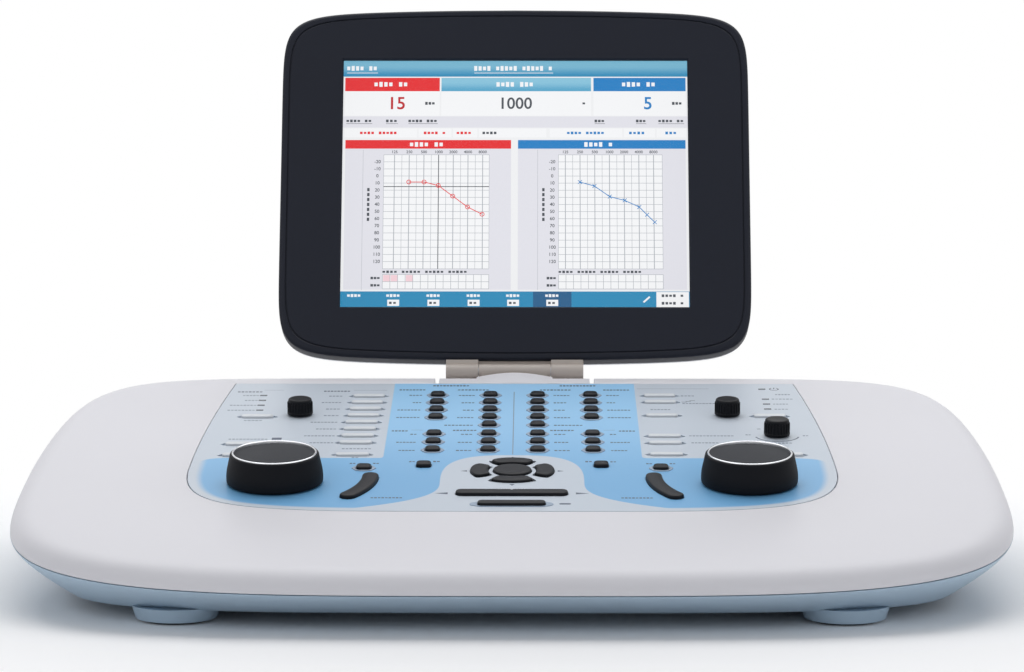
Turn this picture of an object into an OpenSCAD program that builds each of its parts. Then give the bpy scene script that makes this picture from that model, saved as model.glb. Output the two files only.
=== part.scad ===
// Desktop two-channel audiometer: a wedge-shaped console with dials, knobs and keys on a
// sloping control plate, and a screen that folds down over it on a hinge at the rear.
// Two working frames are used: the console frame stands on the floor with y = 0 at the
// front edge, and the slope frame lies in the top surface (x across, y up the slope,
// z square to it, zero at the surface).

/* [Console] */
// Width of the console at its widest point
base_w = 542; // [528:2:556]
// Length of the console, measured up the slope
base_l = 399; // [392:1:408]
// Height of the top surface at the front edge
front_h = 32.5; // [31:0.5:36]
// Rise of the top surface towards the rear, in degrees
slope = 8.7; // [8.2:0.1:9.2]
// Distance from the front edge to the widest point
widest_at = 187; // [175:2:199]
// Squareness of the front half of the outline
front_power = 3.85; // [3.5:0.05:4.2]
// Squareness of the rear half of the outline
rear_power = 7.5; // [6.5:0.5:8.5]
// How far each side draws in by the front edge
front_draw = 3.4; // [1:0.2:6]
// How far each side draws in by the rear edge
rear_draw = 19; // [15:0.5:22]
// Wall of the shells
wall = 3; // [2.5:0.1:3.2]
// Width of the rolled edge, seen from above
roll_w = 14; // [12:0.5:16]
// Depth of the seam below the top surface
seam_depth = 11; // [10:0.5:12]
// Width of the shadow line at the seam
seam_gap = 0.6; // [0.4:0.1:0.8]
// Depth of the shadow line at the seam
seam_inset = 1; // [0.6:0.1:1.4]
// Height of the tray floor above the surface it stands on
floor_z = 7.5; // [7:0.5:8.5]
// How far the tray draws in from the seam to its floor
tray_inset = 31; // [27:1:34]
// Fullness of the tray's side
tray_power = 1.25; // [1.1:0.05:1.5]

/* [Feet] */
// Distance of each foot from the middle plane
foot_x = 174; // [165:1:185]
// Distance of the front feet from the front edge
foot_front_y = 57; // [52:1:64]
// Distance of the rear feet, measured in front of the console's rear edge
foot_rear_back = 77; // [69:2:89]
// Diameter of a foot boss at the tray
foot_top_d = 47; // [44:0.5:50]
// Diameter of a foot boss at its bottom
foot_bottom_d = 43; // [40:0.5:44]
// Diameter of a rubber pad
pad_d = 34; // [30:1:38]
// Thickness of a rubber pad
pad_t = 2.4; // [2:0.1:3]
// How far a pad stands out of its boss
pad_proud = 1.2; // [0.8:0.1:1.6]

/* [Control plate] */
// Width of the plate at its widest point
plate_w = 359.6; // [350:0.4:366]
// Width of the plate along its rear edge
plate_rear_w = 336; // [326:1:342]
// Front edge of the plate, measured in front of the console's rear edge
plate_near_back = 288.2; // [287:0.2:290]
// Widest point of the plate, measured in front of the console's rear edge
plate_wide_back = 213; // [207:1:219]
// Rear edge of the plate, measured in front of the console's rear edge
plate_far_back = 23.6; // [22:0.2:26]
// Squareness of the plate's front corners
plate_power = 5.3; // [4.8:0.1:5.8]
// How far each side of the plate draws in by its front edge
plate_draw = 22; // [18:0.5:26]
// Thickness of the plate
plate_t = 3; // [2.6:0.1:3.4]
// Gap between the plate and the shell
plate_gap = 0.5; // [0.3:0.1:0.8]
// Width of the ledge that carries the plate
ledge_w = 4; // [3.5:0.1:5]
// Thickness of the ledge
ledge_t = 2; // [1.6:0.1:2.4]
// Depth of the switch board below the top surface
board_depth = 13.5; // [13:0.1:14.5]
// Thickness of the circuit boards
board_t = 1.6; // [1.2:0.1:2]

/* [Big dials] */
// Distance of each big dial from the middle plane
dial_x = 130; // [126:0.5:134]
// Place of the big dials, measured in front of the console's rear edge
dial_back = 234; // [231:0.5:239]
// Diameter of a big dial at its bottom
dial_d = 53; // [50:0.5:55]
// Diameter of a big dial at its top
dial_top_d = 49; // [47:0.5:50]
// Height of a big dial
dial_h = 17; // [15:0.5:18]
// Outer diameter of the silver ring
ring_d = 46.6; // [44:0.2:46.8]
// Width of the silver ring
ring_w = 1.9; // [1.4:0.1:2.4]
// Running gap under the dials and knobs
dial_gap = 0.6; // [0.4:0.1:0.9]
// Diameter of a big dial's shaft
shaft_d = 6; // [5:0.5:6.5]
// Running clearance of a shaft, on the radius
shaft_clear = 0.05; // [0.03:0.01:0.08]

/* [Small knobs] */
// Diameter of a small knob
knob_d = 15; // [13:0.5:16]
// Height of a small knob
knob_h = 10; // [9:0.5:11]
// Diameter of a small knob's shaft
knob_shaft_d = 4; // [3.5:0.5:5]
// Distance of the upper knobs from the middle plane
knob_x = 124.8; // [122:0.2:128]
// Place of the upper knobs, measured in front of the console's rear edge
knob_back = 94.5; // [92:0.5:98]
// Distance of the lower right knob from the middle plane
level_knob_x = 151; // [149:0.5:153]
// Place of the lower right knob, measured in front of the console's rear edge
level_knob_back = 138.5; // [135:0.5:142]

/* [Keys] */
// Travel of every key
key_travel = 1.5; // [1:0.1:1.8]
// Gap between a key and the plate
key_gap = 0.35; // [0.25:0.05:0.5]
// Width of the flange that holds a key under the plate
flange_w = 0.9; // [0.7:0.1:1.1]
// Thickness of that flange
flange_t = 1; // [0.8:0.1:1.2]
// Running gap above the flange
flange_gap = 0.15; // [0.1:0.05:0.25]
// Diameter of a key's stem
stem_d = 2.6; // [2:0.1:3]
// Length of a key's stem below its flange
stem_l = 2.4; // [2:0.1:2.8]
// Width of a black key
black_w = 8.2; // [7.6:0.1:8.8]
// Length of a black key up the slope
black_l = 8.6; // [8:0.1:9.2]
// Height of a black key above the plate
black_h = 2.4; // [2:0.1:3.2]
// Width of the lens-shaped collar round a black key
collar_w = 13.6; // [12.8:0.1:14.4]
// Length of that collar up the slope
collar_l = 11.4; // [10.8:0.1:12.2]
// Height of that collar
collar_h = 0.6; // [0.4:0.1:0.9]
// Width of a long grey key
long_w = 18.6; // [17.8:0.1:19.2]
// Length of a long grey key up the slope
long_l = 5; // [4.6:0.1:5.4]
// Height of a long grey key above the plate
long_h = 1.2; // [0.8:0.1:1.8]
// Width of the pointed recess round a long key
recess_w = 24; // [23:0.2:25]
// Length of that recess up the slope
recess_l = 7.4; // [7:0.1:8]
// Depth of that recess
recess_t = 1; // [0.6:0.1:1.2]
// Distance of the inner black columns from the middle plane
inner_col_x = 14; // [13:0.2:15]
// Distance of the outer black columns from the middle plane
outer_col_x = 45.4; // [44:0.2:47]
// Top row of the selector keys, measured in front of the console's rear edge
upper_row_back = 51.6; // [50:0.2:53.4]
// Pitch of the upper selector rows
upper_pitch = 16.5; // [15.8:0.1:16.8]
// Top row of the lower selector keys, measured in front of the console's rear edge
lower_row_back = 136.6; // [135.4:0.2:138]
// Pitch of the lower selector rows
lower_pitch = 16.8; // [16:0.1:17.2]
// Distance of the long key columns from the middle plane
long_col_x = 87; // [85.4:0.2:88]
// Lean of the long key columns, in millimetres per millimetre
long_lean = 0.031; // [0.02:0.001:0.036]
// Top row of the left column of long keys, measured in front of the console's rear edge
long_row_back = 53.2; // [51.6:0.2:55]
// Pitch of the left column of long keys
long_pitch = 14.5; // [13.6:0.1:14.8]
// Place of the correct-answer key below that column, measured in front of the console's rear edge
lone_key_back = 179.4; // [177.4:0.2:181.4]
// Distance of the outermost select keys from the middle plane
side_key_x = 149.4; // [148:0.2:150.8]
// Distance of the keys beside the big dials from the middle plane
dial_key_x = 154; // [152:0.5:156]
// Distance of the right column of long keys from the middle plane
right_col_x = 86.6; // [85:0.2:88]
// Place of the outermost select keys, measured in front of the console's rear edge
side_key_back = 99.4; // [97.4:0.2:101.4]
// Place of the outermost keys behind the big dials, measured in front of the console's rear edge
rear_dial_key_back = 158; // [156:0.5:160]
// Place of the outermost keys beside the big dials, measured in front of the console's rear edge
near_dial_key_back = 180.6; // [178.6:0.2:182.6]
// Distance of the interrupt keys from the middle plane
interrupt_x = 82.5; // [80.5:0.5:84]
// Place of the interrupt keys, measured in front of the console's rear edge
interrupt_back = 206.6; // [205:0.2:208]
// Distance of the talk keys from the middle plane
talk_x = 49.4; // [48:0.2:51]
// Place of the talk keys, measured in front of the console's rear edge
talk_back = 200.8; // [199:0.2:203]
// Width of a curved present bar
present_w = 9; // [8:0.2:10]
// Radius of a present bar's curve
present_r = 70; // [66:1:76]
// Angle that a present bar spans
present_arc = 32; // [29:1:34]
// Distance of a present bar's upper end from the middle plane
present_x = 78; // [76:0.5:80]
// Place of a present bar's upper end, measured in front of the console's rear edge
present_back = 224.4; // [223.4:0.2:226]
// Height of a present bar above the plate
present_h = 2.4; // [1.8:0.1:3.2]

/* [Direction pad] */
// Place of the pad's centre, measured in front of the console's rear edge
pad_back = 211.4; // [210:0.2:213]
// Diameter of the centre key
pad_centre_d = 21.4; // [20:0.2:22]
// Inner diameter of the arc keys
pad_in_d = 27; // [25.6:0.2:28.4]
// Outer diameter of the arc keys
pad_out_d = 46.6; // [44:0.2:48]
// Angle that one arc key spans
pad_arc = 66; // [60:1:70]
// Height of the pad keys above the plate
pad_h = 1.6; // [1.2:0.1:2.4]
// Height of the frequency and save bars above the plate
bar_h = 2; // [1.4:0.1:2.8]
// Length of the frequency bar
freq_w = 61; // [57:1:63]
// Width of the frequency bar up the slope
freq_l = 8.4; // [7.6:0.2:9]
// Place of the frequency bar, measured in front of the console's rear edge
freq_back = 255.4; // [254:0.2:256.6]
// Length of the save bar
save_w = 36.6; // [34:0.2:38]
// Width of the save bar up the slope
save_l = 6.8; // [6:0.2:7.4]
// Place of the save bar, measured in front of the console's rear edge
save_back = 275.2; // [274:0.2:276.2]

/* [Screen] */
// Width of the screen housing
screen_w = 290.6; // [280:0.4:300]
// Height of the screen housing
screen_h = 228.4; // [222:0.4:234]
// Squareness of the housing's outline
screen_power = 10.7; // [9:0.1:12]
// How far the housing's top and bottom edges fall away towards the corners
screen_bow = 4; // [2:0.2:6]
// Backward tilt of the screen as drawn, in degrees
tilt = 21.5; // [18:0.5:25]
// Depth of the front frame
bezel_depth = 11; // [10:0.5:12]
// Thickness of the front frame's face
face_t = 1.6; // [1.4:0.1:2]
// Wall of the front frame and the rear cover
screen_wall = 2.5; // [2:0.1:2.8]
// Depth of the rear cover
back_depth = 24; // [22:1:28]
// How far the rear cover draws in to its flat back
back_inset = 40; // [34:1:44]
// Width of the lit picture
lcd_w = 214.6; // [208:0.2:217]
// Height of the lit picture
lcd_h = 161; // [156:0.5:163]
// Height of the picture's middle above the housing's middle
lcd_rise = 0.3; // [-1:0.1:2]
// Width of the panel module behind the glass
module_w = 230; // [226:1:236]
// Height of the panel module behind the glass
module_h = 178; // [174:1:182]
// Thickness of the panel module
module_t = 6.5; // [5.5:0.1:7]
// Thickness of the glass
glass_t = 1.1; // [0.8:0.1:1.4]

/* [Hinge] */
// Height of the hinge axis above the rear edge of the top surface
hinge_rise = 1.2; // [1:0.1:1.6]
// Radius of the hinge barrels
barrel_r = 4.5; // [4.2:0.1:4.7]
// Distance from the middle plane to the outer end of a barrel
barrel_x = 41.8; // [40:0.2:43]
// Half length of the fixed middle barrel
knuckle_x = 21.8; // [20:0.2:24]
// Gap between the fixed barrel and the turning barrels
knuckle_gap = 0.4; // [0.3:0.1:0.6]
// Diameter of the hinge pins
pin_d = 5; // [4:0.2:5.4]
// Distance from the hinge axis back to the screen's face
face_setback = 2.5; // [2.2:0.1:2.8]
// Distance from the hinge axis up to the screen housing
foot_rise = 8.1; // [7.4:0.1:8.8]
// Half width of the white tongue in front of the hinge
tongue_x = 45.5; // [44.5:0.1:46.5]
// Gap of the slot on each side of the tongue
slot_w = 2.7; // [2.2:0.1:3.2]
// Height of the arch on the tongue
arch_h = 2.4; // [2:0.1:2.6]
// Half width of the arch on the tongue
arch_x = 23; // [21:0.5:25]

/* [Rear connections] */
// Half width of the rear recess
recess_x = 150; // [140:1:154]
// Bottom of the rear recess
recess_low = 18; // [17:0.5:20]
// Distance from the rear edge of the top surface down to the top of the rear recess
recess_drop = 31; // [30:0.2:34]
// Distance from the rear edge to the back of the recess
recess_depth = 29; // [28:0.5:30]
// Number of phone jacks
jack_count = 6; // [4:1:7]
// Pitch of the phone jacks
jack_pitch = 30; // [26:1:32]
// Bore of a phone jack
jack_bore = 6.5; // [6.4:0.05:6.6]
// Depth of a phone jack's bore
jack_l = 16; // [14:0.5:17]

/* [Hidden] */
eps = 0.01;
// Places in the slope frame, all set from the rear edge
plate_front = base_l - plate_near_back;
plate_wide_at = base_l - plate_wide_back;
plate_rear = base_l - plate_far_back;
dial_v = base_l - dial_back;
knob_v = base_l - knob_back;
level_knob_v = base_l - level_knob_back;
upper_row_v = base_l - upper_row_back;
lower_row_v = base_l - lower_row_back;
long_row_v = base_l - long_row_back;
lone_key_v = base_l - lone_key_back;
side_key_v = base_l - side_key_back;
rear_dial_key_v = base_l - rear_dial_key_back;
near_dial_key_v = base_l - near_dial_key_back;
interrupt_v = base_l - interrupt_back;
talk_v = base_l - talk_back;
present_v = base_l - present_back;
pad_v = base_l - pad_back;
freq_v = base_l - freq_back;
save_v = base_l - save_back;
foot_rear_y = base_l - foot_rear_back;
stations = 96;                 // stations round the shells
screen_stations = 48;          // stations round the screen housing
crowd = 0.65;                  // gathers stations at the corners
screen_crowd = 0.4;
rear_t = 60;                   // station angle of the plate's rear corner
side_bow = 1.8;                // bow of the plate's sides
roll_steps = 5;
tray_steps = 6;
inner_steps = 3;
back_steps = 4;
corner_steps = 4;              // points in each quarter of a small rounded corner
ledge_step = 2;                // shoulder outside the ledge
plate_sag = recess_t + 1;      // upper layer of the plate, which holds the recesses

// ---- frames -------------------------------------------------------------------------
// Point of the slope frame as [y, z] of the console frame
function up(v, w = 0) = [v*cos(slope) - w*sin(slope), front_h + v*sin(slope) + w*cos(slope)];
hinge = up(base_l, hinge_rise);
recess_high = up(base_l)[1] - recess_drop;
hinge_y = hinge[0];
hinge_z = hinge[1];
screen_top_z = foot_rise + screen_h;
face_y = face_setback;
seam_y = face_y + bezel_depth;
front_y = up(0, -seam_depth)[0];
// Rearmost point of the screen's rear cover, over its upper rounded edge
back_reach = max([for (a = [0:90/back_steps:90])
    (screen_top_z - back_inset*(1 - cos(a)))*sin(tilt) + (seam_y + back_depth*sin(a))*cos(tilt)]);
mid_y = (front_y + hinge_y + back_reach)/2;

module console() translate([0, -mid_y, 0]) children();
module on_slope() console() translate([0, 0, front_h]) rotate([slope, 0, 0]) children();
module on_screen() console() translate([0, hinge_y, hinge_z]) rotate([-tilt, 0, 0]) children();
// Extrudes a drawing of the x-z plane from y0 back to y1
module upright(y0, y1) translate([0, y1, 0]) rotate([90, 0, 0]) linear_extrude(y1 - y0) children();
module both_sides() for (side = [-1, 1]) mirror([side < 0 ? 1 : 0, 0, 0]) children();

// ---- outlines -----------------------------------------------------------------------
function signed_pow(a, k) = sign(a)*pow(abs(a), k);
function unit(p) = p/norm(p);
// Direction of station angle t, gathered towards the corners and set on a squared circle
function squared(t, n, gather = crowd) = let (
    d = [signed_pow(cos(t), gather), signed_pow(sin(t), gather)],
    k = pow(pow(abs(d[0]), n) + pow(abs(d[1]), n), -1/n)) d*k;
// Outline of the console at the seam, in the slope frame
function rim(t) = let (
    rear = sin(t) >= 0,
    half = rear ? base_l - widest_at : widest_at,
    draw = rear ? rear_draw : front_draw,
    q = squared(t, rear ? rear_power : front_power))
    [q[0]*(base_w/2 - draw*q[1]*q[1]), widest_at + q[1]*half];
// Outline of the control plate, in the slope frame
function plate_front_edge(t) = let (q = squared(t, plate_power))
    [q[0]*(plate_w/2 - plate_draw*q[1]*q[1]),
     plate_wide_at + q[1]*(plate_wide_at - plate_front)];
function plate_side(k, side) =
    [side*(plate_w - (plate_w - plate_rear_w)*pow(k, side_bow))/2,
     plate_wide_at + (plate_rear - plate_wide_at)*k];
function plate_edge(t) =
    t > 180 && t < 360 ? plate_front_edge(t)
    : t <= rear_t ? plate_side(t/rear_t, 1)
    : t >= 180 - rear_t && t <= 180 ? plate_side((180 - t)/rear_t, -1)
    : t >= 360 ? plate_side((t - 360)/rear_t, 1)
    : [plate_rear_w/2*(90 - t)/(90 - rear_t), plate_rear];
// Unit vector square to an outline, pointing inwards, from the points before and after
function inward(a, b) = unit([a[1] - b[1], b[0] - a[0]]);
function rim_in(t) = inward(rim(t - 1), rim(t + 1));
function plate_in(t) = inward(plate_edge(t < 2 ? t + 358 : t - 2), plate_edge(t + 2));
function station_angles(n) = [for (i = [0:n - 1]) 360*i/n];
// Rounded rectangle
function pill(w, l, r) = [for (q = [0:3], i = [0:corner_steps]) let (
    a = 90*q + 90*i/corner_steps,
    cx = (q == 0 || q == 3 ? 1 : -1)*(w/2 - r),
    cy = (q < 2 ? 1 : -1)*(l/2 - r)) [cx + r*cos(a), cy + r*sin(a)]];
// Lens with blunt points left and right
function lens(w, l) = [
    [w/2, 0.4], [w/2 - 2.4, l/2 - 0.9], [w/2 - 4.2, l/2 - 0.2], [w/2 - 5.4, l/2],
    [-w/2 + 5.4, l/2], [-w/2 + 4.2, l/2 - 0.2], [-w/2 + 2.4, l/2 - 0.9], [-w/2, 0.4],
    [-w/2, -0.4], [-w/2 + 2.4, -l/2 + 0.9], [-w/2 + 4.2, -l/2 + 0.2], [-w/2 + 5.4, -l/2],
    [w/2 - 5.4, -l/2], [w/2 - 4.2, -l/2 + 0.2], [w/2 - 2.4, -l/2 + 0.9], [w/2, -0.4]];
// Thick arc with round ends, centred on the origin, from angle a0 to a1
function arc_bar(r, w, a0, a1, ends = 0.5) = concat(
    [for (i = [0:10]) let (a = a0 + (a1 - a0)*i/10) (r + w/2)*[cos(a), sin(a)]],
    [for (i = [1:5]) let (a = a1 + 30*i) r*[cos(a1), sin(a1)]
        + w/2*[cos(a1), sin(a1)]*cos(30*i) + ends*w*[-sin(a1), cos(a1)]*sin(30*i)],
    [for (i = [0:10]) let (a = a1 + (a0 - a1)*i/10) (r - w/2)*[cos(a), sin(a)]],
    [for (i = [1:5]) r*[cos(a0), sin(a0)]
        - w/2*[cos(a0), sin(a0)]*cos(30*i) + ends*w*[sin(a0), -cos(a0)]*sin(30*i)]);

// ---- solids from rings of points ----------------------------------------------------
// Solid like a picture frame: each loop is the wall's section at one station
module frame_solid(loops) {
    n = len(loops);
    m = len(loops[0]);
    polyhedron(
        points = [for (loop = loops) each loop],
        faces = [for (i = [0:n - 1], j = [0:m - 1])
            let (a = i*m, b = ((i + 1)%n)*m, k = (j + 1)%m) [a + j, a + k, b + k, b + j]]);
}
// Solid like a tray: rings from the middle of the outside to the middle of the inside
module tray_solid(rings) {
    n = len(rings[0]);
    m = len(rings);
    polyhedron(
        points = [for (ring = rings) each ring],
        faces = concat(
            [[for (i = [0:n - 1]) i]],
            [[for (i = [n - 1:-1:0]) (m - 1)*n + i]],
            [for (j = [0:m - 2], i = [0:n - 1]) let (k = (i + 1)%n)
                [j*n + i, (j + 1)*n + i, (j + 1)*n + k, j*n + k]]));
}

// ---- key shapes, drawn flat ---------------------------------------------------------
module black_shape() polygon(pill(black_w, black_l, 2.4));
module long_shape() polygon(pill(long_w, long_l, 1.6));
module centre_shape() circle(d = pad_centre_d, $fn = 48);
module arc_shape() polygon(arc_bar((pad_in_d + pad_out_d)/4, (pad_out_d - pad_in_d)/2,
    -pad_arc/2, pad_arc/2, 0.12));
module freq_shape() polygon(pill(freq_w, freq_l, 3.6));
module save_shape() polygon(pill(save_w, save_l, 2.6));
module present_shape() translate([present_r, 0])
    polygon(arc_bar(present_r, present_w, 180, 180 + present_arc));

// ---- key places, in the slope frame -------------------------------------------------
function column(x, v, pitch, n) = [for (i = [0:n - 1]) [x, v - i*pitch]];
function leaning(x, v) = [sign(x)*(abs(x) + (long_row_v - v)*long_lean - 0.7), v];
outer_upper = column(outer_col_x, upper_row_v, upper_pitch, 4);
inner_upper = column(inner_col_x, upper_row_v, upper_pitch, 5);
outer_lower = column(outer_col_x, lower_row_v, lower_pitch, 3);
inner_lower = column(inner_col_x, lower_row_v, lower_pitch, 3);
left_test = concat([for (i = [0:7]) leaning(-long_col_x, long_row_v - i*long_pitch)],
    [leaning(-long_col_x, lone_key_v)]);
left_side = [[-side_key_x, side_key_v], [-dial_key_x, rear_dial_key_v],
    [-dial_key_x, near_dial_key_v]];
right_test = concat(
    [for (v = [long_row_v + 1.2, long_row_v + 1.2 - long_pitch, side_key_v + 3,
        rear_dial_key_v + 3 + long_pitch, rear_dial_key_v + 3, lone_key_v + 1])
        [right_col_x, v]],
    [[side_key_x, side_key_v + 2], [dial_key_x, near_dial_key_v + 1.6]]);
function flip(places) = [for (p = places) [-p[0], p[1]]];
black_places = concat(outer_upper, inner_upper, outer_lower, inner_lower);
collar_places = concat(black_places, flip(black_places),
    [[interrupt_x, interrupt_v], [-interrupt_x, interrupt_v]]);
round_keys = concat(collar_places, [[talk_x, talk_v], [-talk_x, talk_v]]);
long_places = concat(left_test, left_side, right_test);
knob_places = [[-knob_x, knob_v], [knob_x, knob_v], [level_knob_x, level_knob_v]];
dial_places = [[-dial_x, dial_v], [dial_x, dial_v]];
arc_r = (pad_in_d + pad_out_d)/4;
present_mid = [present_x + present_r - present_r*cos(present_arc/2),
    present_v - present_r*sin(present_arc/2)];
single_stems = concat(
    [for (a = [0:90:270]) [arc_r*cos(a), pad_v + arc_r*sin(a)]],
    [[0, pad_v], [0, freq_v], [0, save_v], present_mid, [-present_mid[0], present_mid[1]]]);
module at(places) for (p = places) translate([p[0], p[1], 0]) children();
module at_arcs() for (a = [0:90:270]) translate([0, pad_v, 0]) rotate([0, 0, a]) children();
module at_present() both_sides() translate([present_x, present_v, 0]) children();

// A key: its cap above the plate, the flange that holds it under the plate, and its stem
flange_top = -plate_t - flange_gap;
module key(rise, stem_at = [0, 0]) {
    translate([0, 0, flange_top - eps]) linear_extrude(rise - flange_top + eps) children();
    translate([0, 0, flange_top - flange_t]) linear_extrude(flange_t) offset(delta = flange_w) children();
    translate([stem_at[0], stem_at[1], flange_top - flange_t - stem_l])
        cylinder(d = stem_d, h = stem_l + eps, $fn = 24);
}
module black_keys(places) on_slope() at(places) key(black_h) black_shape();
module long_keys(places) on_slope() at(places) key(long_h) long_shape();

// ---- console shells -----------------------------------------------------------------
post_inset = [49, 45, 59];
post_front_y = 96;
post_rear_back = 61;
post_places = [[base_w/2 - post_inset[0], post_front_y], [base_w/2 - post_inset[1], widest_at + 45],
    [base_w/2 - post_inset[2], base_l - post_rear_back]];
post_split = 26;
post_r = 5;
screw_r = 2;
screw_head_r = 3.6;
screw_head_h = 2.6;
screw_sink = 5;
screw_clear = 0.15;
screw_l = 30;
bracket_post = [30, base_l - post_rear_back];
bracket_z = recess_high + 0.9;
module at_posts() for (p = post_places, side = [-1, 1]) translate([side*p[0], p[1], 0]) children();
module at_bracket_posts() for (side = [-1, 1])
    translate([side*bracket_post[0], bracket_post[1], 0]) children();
module at_feet() for (x = [-foot_x, foot_x], y = [foot_front_y, foot_rear_y])
    translate([x, y, 0]) children();

module top_shell() color("whitesmoke") {
    notch_x = tongue_x + slot_w;
    difference() {
        union() {
            on_slope() frame_solid([for (t = station_angles(stations)) let (
                p = rim(t), n = rim_in(t), q = plate_edge(t), m = plate_in(t))
                concat(
                    [for (j = [0:roll_steps]) let (a = 90*j/roll_steps)
                        [each p + n*roll_w*(1 - cos(a)), -seam_depth*(1 - sin(a))]],
                    [[each q, 0], [each q, -plate_t],
                     [each q + m*ledge_w, -plate_t], [each q + m*ledge_w, -plate_t - ledge_t],
                     [each q - m*ledge_step, -plate_t - ledge_t], [each q - m*ledge_step, -wall],
                     [each p + n*roll_w, -wall],
                     [each p + n*(wall + (roll_w - wall)*(1 - cos(45))),
                        -wall - (seam_depth - wall)*(1 - sin(45))],
                     [each p + n*wall, -seam_depth]])]);
            console() for (p = post_places, side = [-1, 1]) translate([side*p[0], p[1], post_split])
                cylinder(r = post_r, $fn = 32,
                    h = front_h + p[1]*tan(slope) - (wall - 1.2)/cos(slope) - post_split);
        }
        on_slope() translate([-notch_x, plate_rear + plate_gap, -seam_depth - 1])
            cube([2*notch_x, base_l, seam_depth + 2]);
        console() at_posts() translate([0, 0, post_split - 1])
            cylinder(r = screw_r + screw_clear/2, h = 10, $fn = 24);
    }
}

// Section of the tray at station t: outside from floor to seam, then inside back to floor
function tray_point(t, inset, u, lift) = let (
    p = rim(t), n = rim_in(t), s = up(p[1], -seam_depth - (u == 0 ? seam_gap*lift : 0)))
    [p[0] + n[0]*inset, s[0] + n[1]*inset,
     s[1]*(1 - u) + (floor_z + (lift == 0 ? wall : 0))*u + (u == 0 ? n[1]*inset*tan(slope) : 0)];
module tray_walls() {
    outer = [for (j = [tray_steps:-1:0]) let (u = j/tray_steps)
        [for (t = station_angles(stations)) tray_point(t, tray_inset*pow(u, tray_power), u, 1)]];
    lip = [[for (t = station_angles(stations)) tray_point(t, seam_inset, 0, 1)],
        [for (t = station_angles(stations)) tray_point(t, seam_inset, 0, 0)]];
    inner = [for (j = [0:inner_steps]) let (u = j/inner_steps)
        [for (t = station_angles(stations))
            tray_point(t, wall + tray_inset*pow(u, tray_power), u, 0)]];
    tray_solid(concat(outer, lip, inner));
}
module bottom_shell() color("lightsteelblue") console() difference() {
    union() {
        tray_walls();
        at_feet() translate([0, 0, pad_proud])
            cylinder(d1 = foot_bottom_d, d2 = foot_top_d, h = floor_z - pad_proud + 1, $fn = 64);
        at_posts() translate([0, 0, floor_z + 1])
            cylinder(r = post_r, h = post_split - floor_z - 1, $fn = 32);
        at_bracket_posts() translate([0, 0, floor_z + 1])
            cylinder(r = post_r, h = bracket_z - floor_z - 1, $fn = 32);
        for (p = board_posts) translate([p[0], p[1], floor_z + 1])
            cylinder(r = 4, h = main_board_z - floor_z - 1, $fn = 32);
    }
    at_feet() translate([0, 0, pad_proud - 1])
        cylinder(d = pad_d + 0.4, h = pad_t - pad_proud + 1, $fn = 48);
    at_posts() {
        translate([0, 0, floor_z - 1]) cylinder(r = screw_r + screw_clear, h = post_split, $fn = 24);
        translate([0, 0, floor_z - 1])
            cylinder(r = screw_head_r + screw_clear, h = screw_sink + 1, $fn = 32);
    }
    translate([-recess_x, up(base_l)[0] - recess_depth - 12, recess_low])
        cube([2*recess_x, recess_depth + 30, recess_high - recess_low]);
    translate([-stem_half - stem_clear, stem_y - 5, shelf_z - stem_clear])
        cube([2*(stem_half + stem_clear), stem_t + 5 + stem_clear, hinge_z]);
}
module foot_pads() color("dimgray") console() at_feet() cylinder(d = pad_d, h = pad_t, $fn = 48);
module base_screws() color("silver") console() at_posts() {
    translate([0, 0, floor_z + screw_sink - screw_head_h])
        cylinder(r = screw_head_r, h = screw_head_h, $fn = 32);
    translate([0, 0, floor_z + screw_sink - eps])
        cylinder(r = screw_r, h = post_split - floor_z - screw_sink + 8, $fn = 24);
}

// ---- tongue, bracket and rear connections -------------------------------------------
tongue_front = plate_rear + plate_gap + 0.4;
trough_v = base_l - 6.2;
trough_w = 4.4;
function roll_depth(v) = let (k = (v - base_l + roll_w)/roll_w)
    k <= 0 ? 0 : seam_depth*(1 - sqrt(max(0, 1 - k*k)));
module hinge_cover() color("whitesmoke") difference() {
    on_slope() {
        rotate([90, 0, 90]) translate([0, 0, -tongue_x]) linear_extrude(2*tongue_x)
            polygon(concat(
                [[tongue_front, -seam_depth], [base_l, -seam_depth]],
                [for (k = [0:3]) let (v = base_l - 0.5*k) [v - 0.2, -max(trough_w, roll_depth(v - 0.2))]],
                [[trough_v, -trough_w]],
                [for (k = [0:4]) let (v = trough_v - k*(trough_v - base_l + roll_w)/4)
                    [v, -roll_depth(v)]],
                [[tongue_front, 0]]));
        hull() {
            translate([0, trough_v - 1, 0]) arch_slice(arch_h);
            translate([0, base_l - roll_w + 0.5, 0]) arch_slice(arch_h*0.75);
            translate([0, tongue_front + 1, 0]) arch_slice(0.2);
        }
    }
    console() translate([-stem_half - stem_clear, stem_y - stem_clear, shelf_z])
        cube([2*(stem_half + stem_clear), hinge_y, hinge_z]);
}
// Thin upright slice of the arch, from just under the surface to its crown
module arch_slice(h) rotate([90, 0, 0]) linear_extrude(1, center = true)
    polygon(concat([[arch_x, -1.4], [-arch_x, -1.4]],
        [for (i = [0:12]) let (k = i/6 - 1) [arch_x*k, -1 + (h + 1)*cos(80*k)]]));

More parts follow.
